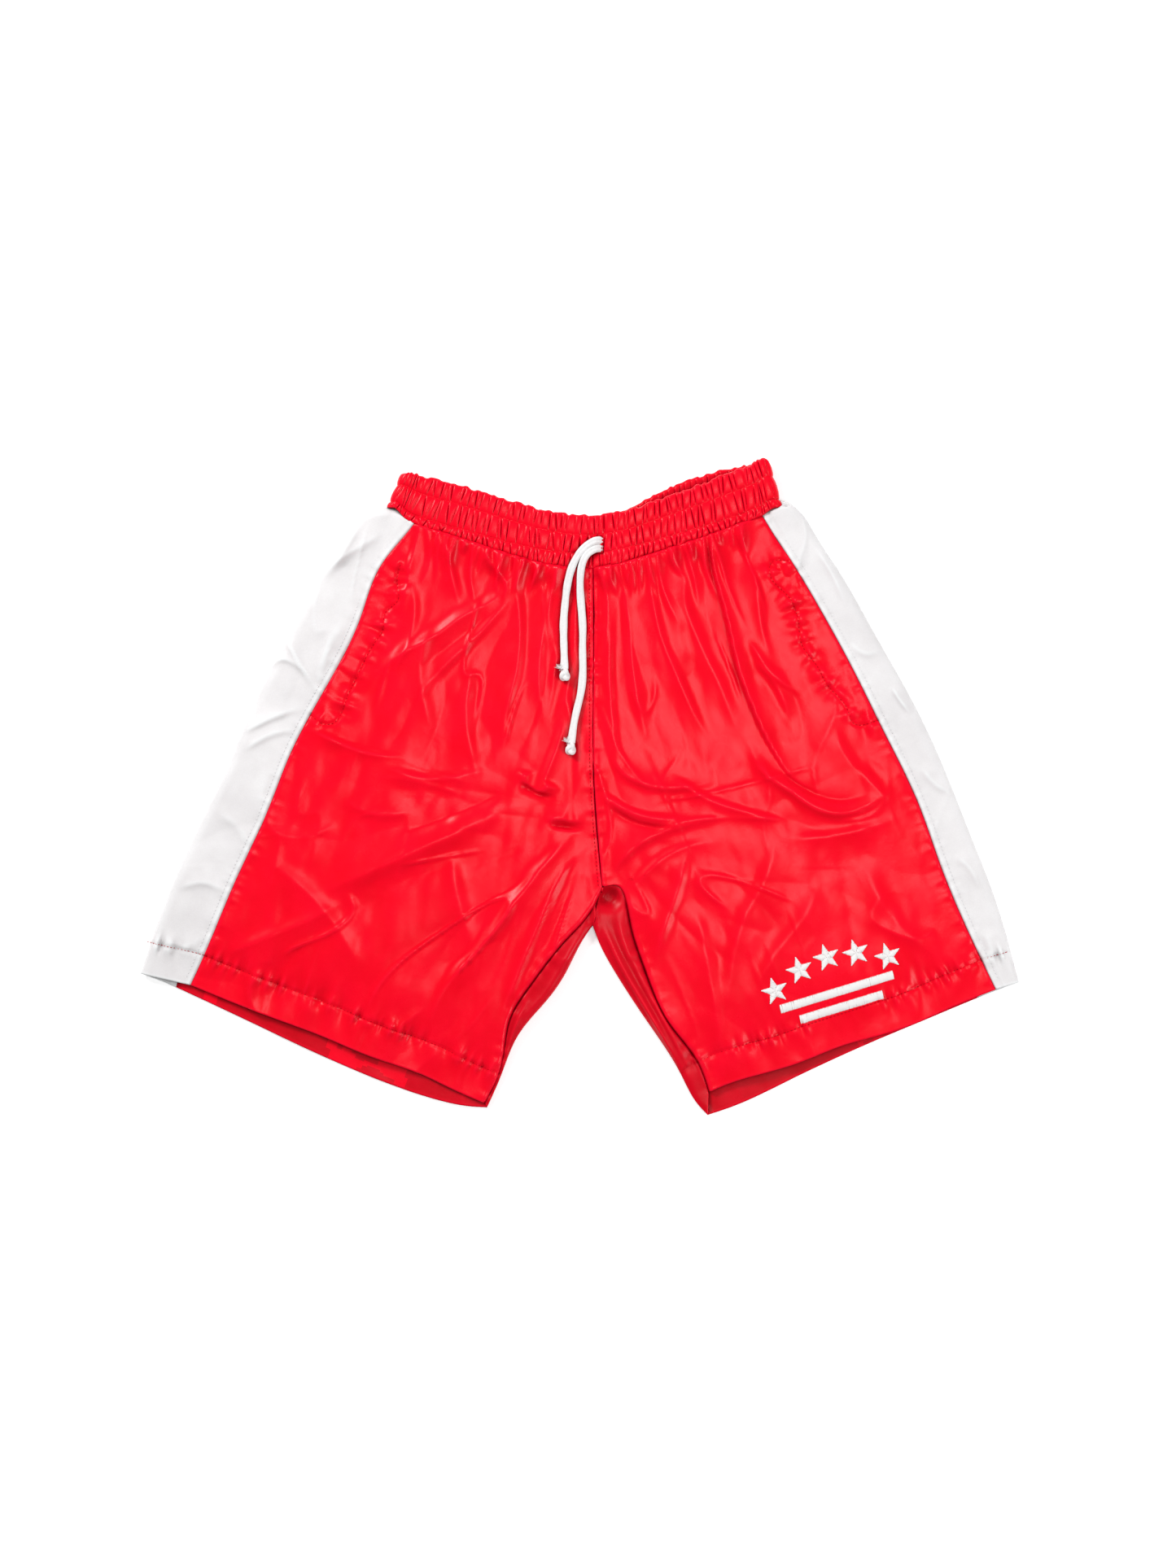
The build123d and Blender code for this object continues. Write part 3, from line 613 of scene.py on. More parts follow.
# ---- panels ----------------------------------------------------------------------
ROWS = 300
FRONT_COLS, STRIPE_COLS, GUSSET_COLS, BACK_COLS, WRAP_COLS = 150, 34, 16, 90, 14


def wrap_line(side):
    """Where the stripe ends on the back."""
    line = LINES[side]["side"].copy()
    reach = np.interp(np.linspace(0, 1, len(line)), [0, 1], STRIPE_WRAP[side])
    line[:, 0] -= side * reach
    hem = LINES[side]["back_hem"]
    foot = hem[np.argmin(np.abs(hem[:, 0] - line[-1, 0]))]
    slide = np.linspace(0, 1, len(line))[:, None] ** 6
    return line * (1 - slide) + (foot + (line - line[-1])) * slide


def under_band(x_from, x_to, depth=6.0):
    """The edge that is sewn under the band, between two places along it."""
    band = smooth(BAND_LOW, 400)
    x = np.linspace(x_from, x_to, 60)
    return np.stack([x, np.interp(x, band[:, 0], band[:, 1]) + depth], axis=1)


def part_of_hem(hem, x):
    """A hem line cut at an X, and its two pieces."""
    cut = int(np.argmin(np.abs(hem[:, 0] - x)))
    return hem[: cut + 1], hem[cut:]


def sheet_mesh(name, patches):
    """One mesh from several grids of points, welded where they meet."""
    points, faces, first = [], [], 0
    for x, y, z in patches:
        rows, cols = x.shape
        points.append(np.stack([x, y, z], axis=-1).reshape(-1, 3))
        faces.append(grid_faces(rows, cols, first))
        first += rows * cols
    obj = new_mesh(name, np.concatenate(points), np.concatenate(faces))
    weld(obj)
    return obj


def front_panel(side):
    """The red front of one leg."""
    lines = LINES[side]
    inner, seam = lines["front_inner"], lines["stripe"]
    top = np.array([inner[0], *under_band(inner[0, 0], seam[0, 0])[5:-5], seam[0]])
    x, y = coons(top, lines["front_hem"][::-1], inner, seam, ROWS, FRONT_COLS)
    obj = sheet_mesh(f"front_panel_{NAMES[side]}_cloth", [(x, y, front_height(x, y, side))])
    face_out(obj, True)
    thicken(obj, CLOTH, lines["whole_hem"])
    return obj


def side_stripe(side):
    """The white stripe: its front, and its reach round the back."""
    lines = LINES[side]
    seam, edge, wrap = lines["stripe"], lines["side"], wrap_line(side)
    foot = np.array([seam[-1], 0.5 * (seam[-1] + edge[-1]), edge[-1]])
    x, y = coons([seam[0], edge[0]], foot, seam, edge, ROWS, STRIPE_COLS, ease_right=True)
    front = (x, y, front_height(x, y, side))
    back_foot = part_of_hem(lines["back_hem"], wrap[-1, 0])[0]
    x, y = coons([wrap[0], edge[0]], back_foot[::-1], wrap, edge, ROWS, WRAP_COLS, ease_right=True)
    back = (x, y, back_height(x, y, side))
    obj = sheet_mesh(f"side_stripe_{NAMES[side]}_cloth", [front, back])
    face_out(obj, True)
    thicken(obj, CLOTH, lines["whole_hem"])
    return obj


CROTCH_LAP = 0.9  # how far each turned strip reaches past the seam between the legs


def back_panel(side):
    """The red back of one leg, with the strip that it folds forward along the inner leg."""
    lines = LINES[side]
    inner, wrap = lines["back_inner"], wrap_line(side)
    top = np.array([wrap[0], *under_band(wrap[0, 0], inner[0, 0], 4.0)[5:-5], inner[0]])
    foot = part_of_hem(lines["back_hem"], wrap[-1, 0])[1]
    x, y = coons(top, foot, wrap, inner, ROWS, BACK_COLS, ease_right=True)
    back = (x, y, back_height(x, y, side))
    below = inner[:, 1] <= CENTRE_SEAM[-1][1] + 0.6
    edge, seam = inner[below].copy(), LINES[side]["inseam"]
    edge[edge[:, 1] > CROTCH[1], 0] -= side * CROTCH_LAP
    count = int(below.sum())
    edge_rows = ROWS - int(round(ROWS * (1 - count / len(inner))))
    top, foot = [seam[0], edge[0]], [seam[-1], edge[-1]]
    x, y = coons(top, foot, seam, edge, edge_rows, GUSSET_COLS, ease_right=True)
    strip = (x, y, front_height(x, y, side))
    obj = sheet_mesh(f"back_panel_{NAMES[side]}_cloth", [back, strip])
    face_out(obj, False)
    thicken(obj, CLOTH, lines["back_hem"])
    return obj


# ---- materials -------------------------------------------------------------------
def nodes_of(name):
    """A new material and a short way to add nodes to it."""
    material = bpy.data.materials.new(name)
    material.use_nodes = True
    tree = material.node_tree
    shader = tree.nodes["Principled BSDF"]

    def add(kind, **values):
        node = tree.nodes.new(kind)
        for key, value in values.items():
            if key in node.inputs.keys():
                node.inputs[key].default_value = value
            else:
                setattr(node, key, value)
        return node

    return material, tree.links, shader, add


def colour_between(add, links, factor, low, high):
    """A colour that goes from one to another by a factor."""
    mix = add("ShaderNodeMix", data_type="RGBA")
    mix.inputs["A"].default_value = (*low, 1)
    mix.inputs["B"].default_value = (*high, 1)
    links.new(factor, mix.inputs["Factor"])
    return mix.outputs["Result"]


PAINTED_SHADE_SHARE = 0.24  # how dark the painted shade makes the satin deep in a fold


def satin(name, shade, colour, light, roughness):
    """Thin woven satin: patchy tone, a fine diagonal weave and a soft gloss, with a painted highlight on
    sharp crests and painted shade in hollows.
    """
    material, links, shader, add = nodes_of(name)
    place = add("ShaderNodeTexCoord").outputs["Object"]
    cloud = add("ShaderNodeTexNoise", Scale=26.0, Detail=4.0, Roughness=0.6)
    fine = add("ShaderNodeTexNoise", Scale=900.0, Detail=2.0)
    weave = add("ShaderNodeTexWave", Scale=520.0, Distortion=0.6, Detail=1.0, bands_direction="DIAGONAL")
    for node in (cloud, fine, weave):
        links.new(place, node.inputs["Vector"])
    blend = add("ShaderNodeMath", operation="MULTIPLY_ADD")
    links.new(fine.outputs["Fac"], blend.inputs[0])
    blend.inputs[1].default_value = 0.35
    links.new(cloud.outputs["Fac"], blend.inputs[2])
    spread = add("ShaderNodeMapRange")
    spread.inputs["From Min"].default_value = 0.45
    spread.inputs["From Max"].default_value = 0.9
    links.new(blend.outputs[0], spread.inputs["Value"])
    tint = colour_between(add, links, spread.outputs["Result"], shade, colour)
    # Painted highlight: where Pointiness shows a sharp crest, the colour turns to the light colour.
    crest = add("ShaderNodeNewGeometry").outputs["Pointiness"]
    crest_highlight = add("ShaderNodeMapRange")
    crest_highlight.inputs["From Min"].default_value = 0.5
    crest_highlight.inputs["From Max"].default_value = 0.55
    links.new(crest, crest_highlight.inputs["Value"])
    top = add("ShaderNodeMix", data_type="RGBA")
    links.new(crest_highlight.outputs["Result"], top.inputs["Factor"])
    links.new(tint, top.inputs["A"])
    top.inputs["B"].default_value = (*light, 1)
    # Painted shade: ambient occlusion darkens the colour in hollows towards a small share of the shade
    # colour.
    hollow = add("ShaderNodeAmbientOcclusion", Distance=0.013, samples=6)
    depth = add("ShaderNodeMapRange")
    depth.inputs["From Min"].default_value = 0.38
    depth.inputs["From Max"].default_value = 0.9
    links.new(hollow.outputs["AO"], depth.inputs["Value"])
    deep = add("ShaderNodeMix", data_type="RGBA")
    links.new(depth.outputs["Result"], deep.inputs["Factor"])
    deep.inputs["A"].default_value = (*(PAINTED_SHADE_SHARE * value for value in shade), 1)
    links.new(top.outputs["Result"], deep.inputs["B"])
    links.new(deep.outputs["Result"], shader.inputs["Base Color"])
    gloss = add("ShaderNodeMapRange")
    gloss.inputs["To Min"].default_value = roughness - 0.05
    gloss.inputs["To Max"].default_value = roughness + 0.08
    links.new(cloud.outputs["Fac"], gloss.inputs["Value"])
    links.new(gloss.outputs["Result"], shader.inputs["Roughness"])
    threads = add("ShaderNodeBump", Strength=0.12, Distance=0.00012)
    links.new(weave.outputs["Fac"], threads.inputs["Height"])
    creases = add("ShaderNodeBump", Strength=0.35, Distance=0.0012)
    links.new(cloud.outputs["Fac"], creases.inputs["Height"])
    links.new(threads.outputs["Normal"], creases.inputs["Normal"])
    links.new(creases.outputs["Normal"], shader.inputs["Normal"])
    # The same occlusion factor also lowers the specular level in hollows.
    shine = add("ShaderNodeMath", operation="MULTIPLY")
    links.new(depth.outputs["Result"], shine.inputs[0])
    shine.inputs[1].default_value = 0.13
    links.new(shine.outputs[0], shader.inputs["Specular IOR Level"])
    shader.inputs["Anisotropic"].default_value = 0.35
    return material


# Each satin: the low and high ends of its patchy tone, the painted highlight colour for crests, and its
# roughness.
RED = satin("red_satin_weave", (0.88, 0.0004, 0.012), (0.98, 0.0008, 0.019), (1.0, 0.003, 0.026), 0.25)
# A darker copy of the red satin, painted shade for the back panel's turned strip.
SHADED_RED = satin("red_satin_painted_shade", (0.58, 0.0003, 0.008), (0.72, 0.0006, 0.014), (0.85, 0.003, 0.02), 0.3)
WHITE = satin("white_satin_weave", (0.74, 0.715, 0.72), (0.83, 0.81, 0.815), (0.87, 0.88, 0.885), 0.33)


def dress(obj, material, replaced, body):
    """Gives a piece its material and smooth shading, hides the CAD parts it stands for, and lets it ride on
    its body when one is given.
    """
    obj.data.materials.clear()
    obj.data.materials.append(material)
    shade_smooth(obj)
    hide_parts(*replaced)
    if body is not None:
        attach(obj, body)
    return obj


def fold_with_half(obj):
    """Bakes a piece's placement into its mesh."""
    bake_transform(obj)


TURNED_ABOVE = 0.002  # metres: the back ply below this height lies open to the light inside the hem


def shade_turned_faces(obj):
    """Gives the raised faces that look up, along the leg's turned inner edge, a darker copy of the red satin
    as painted shade.
    """
    obj.data.materials.append(SHADED_RED)
    normals = np.zeros(3 * len(obj.data.polygons))
    centres = np.zeros(3 * len(obj.data.polygons))
    obj.data.polygons.foreach_get("normal", normals)
    obj.data.polygons.foreach_get("center", centres)
    turned = (normals[2::3] > 0) & (centres[2::3] > TURNED_ABOVE)
    obj.data.polygons.foreach_set("material_index", turned.astype(int))


# Each panel's maker, material, slot and cut: width and length in metres, and area in square metres.
PANELS = {
    "front_panel": (front_panel, RED, "red_satin", (0.38, 0.52), 0.135),
    "side_stripe": (side_stripe, WHITE, "white_satin", (0.14, 0.47), 0.042),
    "back_panel": (back_panel, RED, "red_satin", (0.42, 0.54), 0.158),
}


def build_panels():
    """All six panels."""
    for side in (RIGHT, LEFT):
        for kind, (make, paint, slot, flat, area) in PANELS.items():
            obj = make(side)
            dress(obj, paint, [f"{kind}_{NAMES[side]}"], None)
            fold_with_half(obj)
            if kind == "back_panel":
                shade_turned_faces(obj)


# ---- camera, floor and light -------------------------------------------------------
FRAME_TALL = 1.3874  # what the camera sees of the floor from top to bottom, in metres
FLOOR_REACH = 9000
CAMERA_HIGH = 2.4
VIEW_CENTRE = (0.0072, 0.0029)


def add_stage():
    """The camera straight above, a pale floor and soft studio light."""
    scene = bpy.context.scene
    camera = bpy.data.cameras.new("camera")
    camera.sensor_fit = "VERTICAL"
    camera.sensor_height = 36
    camera.lens = 36 * CAMERA_HIGH / FRAME_TALL
    camera.clip_end = 50
    eye = bpy.data.objects.new("camera", camera)
    eye.location = (*VIEW_CENTRE, CAMERA_HIGH)
    scene.collection.objects.link(eye)
    scene.camera = eye
    corners = [(x * FLOOR_REACH, y * FLOOR_REACH, 0) for x, y in ((-1, -1), (1, -1), (1, 1), (-1, 1))]
    floor = new_mesh("floor", corners, [[0, 1, 2, 3]])
    paper, links, shader, add = nodes_of("pale_paper")
    place = add("ShaderNodeTexCoord").outputs["Object"]
    grain = add("ShaderNodeTexNoise", Scale=60.0, Detail=3.0)
    links.new(place, grain.inputs["Vector"])
    links.new(colour_between(add, links, grain.outputs["Fac"], (0.95, 0.95, 0.95), (0.98, 0.98, 0.98)),
              shader.inputs["Base Color"])
    shader.inputs["Roughness"].default_value = 0.85
    shader.inputs["Specular IOR Level"].default_value = 0.1
    shader.inputs["Emission Color"].default_value = (1, 1, 1, 1)
    shader.inputs["Emission Strength"].default_value = 0.34
    floor.data.materials.append(paper)
    world = bpy.data.worlds.new("studio")
    world.use_nodes = True
    world.node_tree.nodes["Background"].inputs["Color"].default_value = (1, 1, 1, 1)
    world.node_tree.nodes["Background"].inputs["Strength"].default_value = 0.26
    scene.world = world
    for name, place, size, power in (
        ("key", (-1.5, 1.6, 1.45), 0.6, 50),
        ("fill", (1.9, -0.7, 1.5), 0.8, 24),
        ("top", (0.4, 0.3, 3.2), 0.9, 25),
    ):
        lamp = bpy.data.lights.new(name, "AREA")
        lamp.size, lamp.energy = size, power
        holder = bpy.data.objects.new(name, lamp)
        holder.location = place
        aim = -holder.location.normalized()
        holder.rotation_euler = aim.to_track_quat("-Z", "Y").to_euler()
        scene.collection.objects.link(holder)
    scene.view_settings.view_transform = "Standard"


# ---- waistband -------------------------------------------------------------------
BAND_SEAM_X = 20.2
BAND_PUFF, BAND_PINCH = 2.75, 0.85  # half thickness of a wall between the rows of stitching, and at them
WALL_FRONT, WALL_BACK = 11.6, 3.7  # height of the middle of each wall
BAND_ROUNDS, BAND_ACROSS = 1000, 44
CASING_CLOTH = 0.25  # the cloth's thickness, laid on outside what band_surface gives
RUFFLES_ROUND = 128
LOW_LINE, TOP_LINE, BACK_LINE = smooth(BAND_LOW, 400), smooth(BAND_TOP, 400), smooth(BACK_TOP, 400)
END_TURN = 0.5 * (WALL_FRONT - WALL_BACK)  # radius of the wall's turn at each end of the band


def row_share(share):
    """Where the lower shirring row runs, as a share of the band's height."""
    return ROW_LOW_SIDE + (ROW_LOW_MIDDLE - ROW_LOW_SIDE) * bell(share - 0.53, 0.27)


def band_frame(turn, tall):
    """A point of the band's wall and its outward direction.

    turn goes once round the waist, along the front from the right side to the left one and home along the
    back, and tall goes from the lower edge to the upper one.
    """
    turn, tall = np.broadcast_arrays(np.asarray(turn, float) % 1.0, np.asarray(tall, float))
    wide = length_of(LOW_LINE)
    curl = math.pi * END_TURN
    total = 2 * wide + 2 * curl
    s = turn * total
    on_front, on_left = s < wide, (s >= wide) & (s < wide + curl)
    on_back = (s >= wide + curl) & (s < 2 * wide + curl)
    share = np.select([on_front, on_left, on_back], [s / wide, 1.0, 1 - (s - wide - curl) / wide], 0.0)
    round_right = 1 - (s - 2 * wide - curl) / curl
    angle = math.pi * np.select([on_front, on_left, on_back], [0.0, (s - wide) / curl, 1.0], round_right)
    index = np.linspace(0, 1, 400)

    def at(line, axis):
        return np.interp(share, index, line[:, axis])

    high = 0.5 * (1 + np.cos(angle))
    x_top = high * at(TOP_LINE, 0) + (1 - high) * at(BACK_LINE, 0)
    y_top = high * at(TOP_LINE, 1) + (1 - high) * at(BACK_LINE, 1)
    x = at(LOW_LINE, 0) * (1 - tall) + x_top * tall
    y = at(LOW_LINE, 1) * (1 - tall) + y_top * tall
    out = np.where(share > 0.5, 1.0, -1.0) * np.sin(angle)
    toward = np.where(share > 0.5, 1.0, -1.0)
    x = x + out * END_TURN - toward * (END_TURN + BAND_PUFF) * ease((np.abs(share - 0.5) - 0.44) / 0.06)
    z = 0.5 * (WALL_FRONT + WALL_BACK) + END_TURN * np.cos(angle)
    return x, y, z, out, np.cos(angle), share, s


def ruffle_table(channel, seed):
    """The gathers of one channel: place round the waist, width, height, lean and how far up each reaches."""
    rng = np.random.default_rng(seed)
    count = RUFFLES_ROUND + 22 * (channel == 0)
    places = (np.arange(count) + rng.uniform(-0.32, 0.32, count)) / count
    return np.stack([
        places,
        rng.uniform(0.5, 0.95, count),
        rng.uniform(1.2, 3.0, count),
        rng.uniform(-3.2, 3.2, count),
        rng.uniform(0.45, 1.1, count),
    ], axis=1)


RUFFLES = [ruffle_table(channel, 60 + channel) for channel in range(3)]


def ruffles(s, total, tall, share):
    """How far the gathers sink the casing, in narrow grooves between fuller folds."""
    low = row_share(share)
    bounds = [(0 * low, low), (low, 0 * low + ROW_TOP), (0 * low + ROW_TOP, 0 * low + 1.04)]
    raised = np.zeros_like(s)
    for (start, end), table in zip(bounds, RUFFLES):
        rows = np.nonzero((tall >= start - 0.02) & (tall <= end + 0.02))
        order = np.argsort(s[rows])
        rows = tuple(index[order] for index in rows)
        there, inside = s[rows], ((tall - start) / (end - start))[rows]
        env = np.clip(4 * inside * (1 - inside), 0, 1) ** 0.35
        added = np.zeros_like(there)
        for place, width, height, lean, reach in table:
            for lap in (-total, 0, total):
                centre, span = place * total + lap, 3 * width + 0.6 * abs(lean)
                a, b = np.searchsorted(there, (centre - span, centre + span))
                part = slice(a, b)
                off = there[part] - centre - lean * (inside[part] - 0.5)
                fade = ease(1.25 - np.abs(inside[part] - 0.5) / reach)
                added[part] -= height * crest(off, width) * env[part] * fade
        raised[rows] += added
    return raised


def band_sway(s):
    """How far the whole wall wanders in and out."""
    return 0.5 * wave(s, 60, 71) + 0.3 * wave(s, 23, 72)


def band_surface(turn, tall, face=1.0):
    """A point on the casing: face is 1 on its outer side and -1 on its inner side."""
    x, y, z, out_x, out_z, share, s = band_frame(turn, tall)
    total = 2 * length_of(LOW_LINE) + 2 * math.pi * END_TURN
    low = row_share(share)
    inside = np.where(tall < low, tall / low, np.where(
        tall < ROW_TOP, (tall - low) / (ROW_TOP - low), (tall - ROW_TOP) / (1 - ROW_TOP)))
    crown = np.clip(4 * inside * (1 - inside), 0, 1) ** 0.55
    thick = BAND_PINCH + (BAND_PUFF - BAND_PINCH) * crown
    close = np.sqrt(np.clip(1 - np.clip((tall - 0.955) / 0.045, 0, 1) ** 2, 0, 1))
    close = close * np.sqrt(np.clip(1 - np.clip((0.03 - tall) / 0.03, 0, 1) ** 2, 0, 1))
    folds = np.maximum(ruffles(s, total, tall, share), -2.7) + 1.1
    sway = band_sway(s)
    push = face * (thick * close + (0.62 if face > 0 else 0.3) * folds * np.clip(close, 0.25, 1)) + sway
    rim = 0.9 * wave(s, 7, 73) * ease((tall - 0.9) / 0.1)
    return x + out_x * push, y + rim, z + out_z * push


def band_turns(side):
    """The turns round the waist that bound each half: the front seam and the back seam."""
    wide = length_of(LOW_LINE)
    total = 2 * wide + 2 * math.pi * END_TURN
    seam = float(np.interp(BAND_SEAM_X, LOW_LINE[:, 0], np.linspace(0, 1, 400)))
    front, back = seam * wide / total, (2 * wide + math.pi * END_TURN - seam * wide) / total
    return (front, back) if side == LEFT else (back, 1 + front)


def waistband(side):
    """One half of the gathered casing, from seam to seam."""
    start, end = band_turns(side)
    turns = np.linspace(start, end, BAND_ROUNDS)
    up = 0.5 - 0.5 * np.cos(np.linspace(0, math.pi, BAND_ACROSS * 2))
    outer = np.stack(band_surface(turns[:, None], up[None], 1.0), axis=-1)
    inner = np.stack(band_surface(turns[:, None], up[None, ::-1], -1.0), axis=-1)
    points = np.concatenate([outer, inner], axis=1)
    points[..., 2] = np.maximum(points[..., 2], 0.35)
    seam = np.minimum(np.arange(BAND_ROUNDS), np.arange(BAND_ROUNDS)[::-1])[:, None]
    tuck = np.exp(-((seam / 3.5) ** 2))
    middle = points.mean(axis=1, keepdims=True)
    points[..., 2] -= 0.28 * tuck * (points[..., 2] - middle[..., 2])
    faces = grid_faces(BAND_ROUNDS, points.shape[1], 0, True)
    return new_mesh(f"waistband_{NAMES[side]}_cloth", points.reshape(-1, 3), faces)


def build_waistband():
    """Both halves of the casing."""
    for side in (RIGHT, LEFT):
        obj = waistband(side)
        weld(obj, 0.01)
        face_out(obj, True)
        thicken(obj, CASING_CLOTH, None, CASING_CLOTH)
        dress(obj, RED, [f"waistband_casing_{NAMES[side]}"], None)
        fold_with_half(obj)


def ring(name, low, high, push, thick, material, node, sway):
    """A flat strip that runs round the waist inside the casing."""
    turns, across = np.linspace(0, 1, 721)[:-1], np.linspace(low, high, 7)
    x, y, z, out_x, out_z, _, s = band_frame(turns[:, None], across[None])
    ripple = sway * wave(s, 9, 81) + band_sway(s)
    faces = []
    for side in (0.5, -0.5):
        depth = push + side * thick + ripple
        faces.append(np.stack([x + out_x * depth, y, z + out_z * depth], axis=-1))
    points = np.concatenate([faces[0], faces[1][:, ::-1]], axis=1)
    rows = np.concatenate([points, points[:1]])
    cols = points.shape[1]
    obj = new_mesh(name, rows.reshape(-1, 3), grid_faces(len(rows), cols, 0, True))
    weld(obj, 0.001)
    dress(obj, material, [node], None)
    fold_with_half(obj)


# ---- stitching -------------------------------------------------------------------
STITCH_LONG, STITCH_PITCH, STITCH_WIDE = 2.7, 3.4, 0.30
THREAD_AROUND = 6
THREAD_RINGS = [  # how far along a stitch, how thick it is there, and how high it stands
    (0.0, 0.25, -0.75), (0.12, 0.85, -0.15), (0.5, 1.0, 0.25), (0.88, 0.85, -0.15), (1.0, 0.25, -0.75),
]


def threads(starts, ends, wide, ups=None, arch=1.0):
    """Short lengths of thread, each pulled into the cloth at both ends: their points and quads."""
    starts, ends = np.asarray(starts, float), np.asarray(ends, float)
    run = ends - starts
    size = np.linalg.norm(run, axis=1, keepdims=True)
    along = run / np.maximum(size, 1e-9)
    up = np.tile([0.0, 0.0, 1.0], (len(run), 1)) if ups is None else np.asarray(ups, float)
    across = np.cross(up, along)
    across /= np.maximum(np.linalg.norm(across, axis=1, keepdims=True), 1e-9)
    up = np.cross(along, across)
    angles = 2 * math.pi * np.arange(THREAD_AROUND) / THREAD_AROUND
    points = []
    for share, girth, lift in THREAD_RINGS:
        middle = starts + share * run + up * wide * lift * arch
        for angle in angles:
            points.append(middle + girth * wide * (across * math.cos(angle) + up * 0.8 * math.sin(angle)))
    points = np.stack(points, axis=1)
    single = grid_faces(len(THREAD_RINGS), THREAD_AROUND, 0, True)
    faces = single[None] + (np.arange(len(run)) * points.shape[1])[:, None, None]
    return points.reshape(-1, 3), faces.reshape(-1, 4)


def threads_mesh(name, groups):
    """One mesh from several groups of threads."""
    points, faces, first = [], [], 0
    for group_points, group_faces in groups:
        points.append(group_points)
        faces.append(group_faces + first)
        first += len(group_points)
    return new_mesh(name, np.concatenate(points), np.concatenate(faces))


def row_of_stitches(path, ups=None, pitch=STITCH_PITCH, long=STITCH_LONG):
    """Stitches along a path in space."""
    count = max(int(length_of(path) / pitch), 2)
    fine = evenly(path, count * 10 + 1)
    take = int(10 * long / pitch)
    starts, ends = fine[:-10:10], fine[take::10][: len(fine[:-10:10])]
    if ups is not None:
        at, known = np.linspace(0, 1, len(fine)), np.linspace(0, 1, len(ups))
        fine_up = np.stack([np.interp(at, known, ups[:, i]) for i in range(3)], axis=1)
        ups = fine_up[:-10:10][: len(ends)]
    return threads(starts[: len(ends)], ends, STITCH_WIDE, ups)


def beside(line, gap):
    """A line at a distance to the left of another."""
    run = np.gradient(line, axis=0)
    run /= np.linalg.norm(run, axis=1, keepdims=True)
    return line + gap * np.stack([-run[:, 1], run[:, 0]], axis=1)


def on_front(line, side, lift=0.1):
    """A plan line laid on the front of a leg."""
    line = evenly(line, max(int(length_of(line) / 1.1), 8))
    return np.column_stack([line, front_height(line[:, 0], line[:, 1], side) + lift])


def on_back(line, side, lift=0.1):
    """A plan line laid on the back of a leg."""
    line = evenly(line, max(int(length_of(line) / 1.1), 8))
    return np.column_stack([line, back_height(line[:, 0], line[:, 1], side) - lift])


def under_side(path):
    """Upward directions for stitches on the back."""
    return np.tile([0.0, 0.0, -1.0], (len(path), 1))


def thread_paint(name, dark, light):
    """Spun thread: twisted ply and a little sheen."""
    material, links, shader, add = nodes_of(name)
    place = add("ShaderNodeTexCoord").outputs["Object"]
    twist = add("ShaderNodeTexWave", Scale=900.0, Distortion=1.5, Detail=1.0, bands_direction="DIAGONAL")
    links.new(place, twist.inputs["Vector"])
    links.new(colour_between(add, links, twist.outputs["Fac"], dark, light), shader.inputs["Base Color"])
    bump = add("ShaderNodeBump", Strength=0.3, Distance=0.0002)
    links.new(twist.outputs["Fac"], bump.inputs["Height"])
    links.new(bump.outputs["Normal"], shader.inputs["Normal"])
    shader.inputs["Roughness"].default_value = 0.6
    shader.inputs["Specular IOR Level"].default_value = 0.06
    return material


RED_THREAD = thread_paint("red_thread_twist", (0.42, 0.0, 0.004), (0.60, 0.0005, 0.01))
WHITE_THREAD = thread_paint("white_thread_twist", (0.72, 0.71, 0.72), (0.93, 0.92, 0.93))
RAYON = thread_paint("rayon_embroidery_twist", (0.86, 0.84, 0.84), (1.0, 0.99, 0.98))


BAR_SPAN = (194.0, 268.0)  # X of the stretch of hem stitching that the embroidery covers


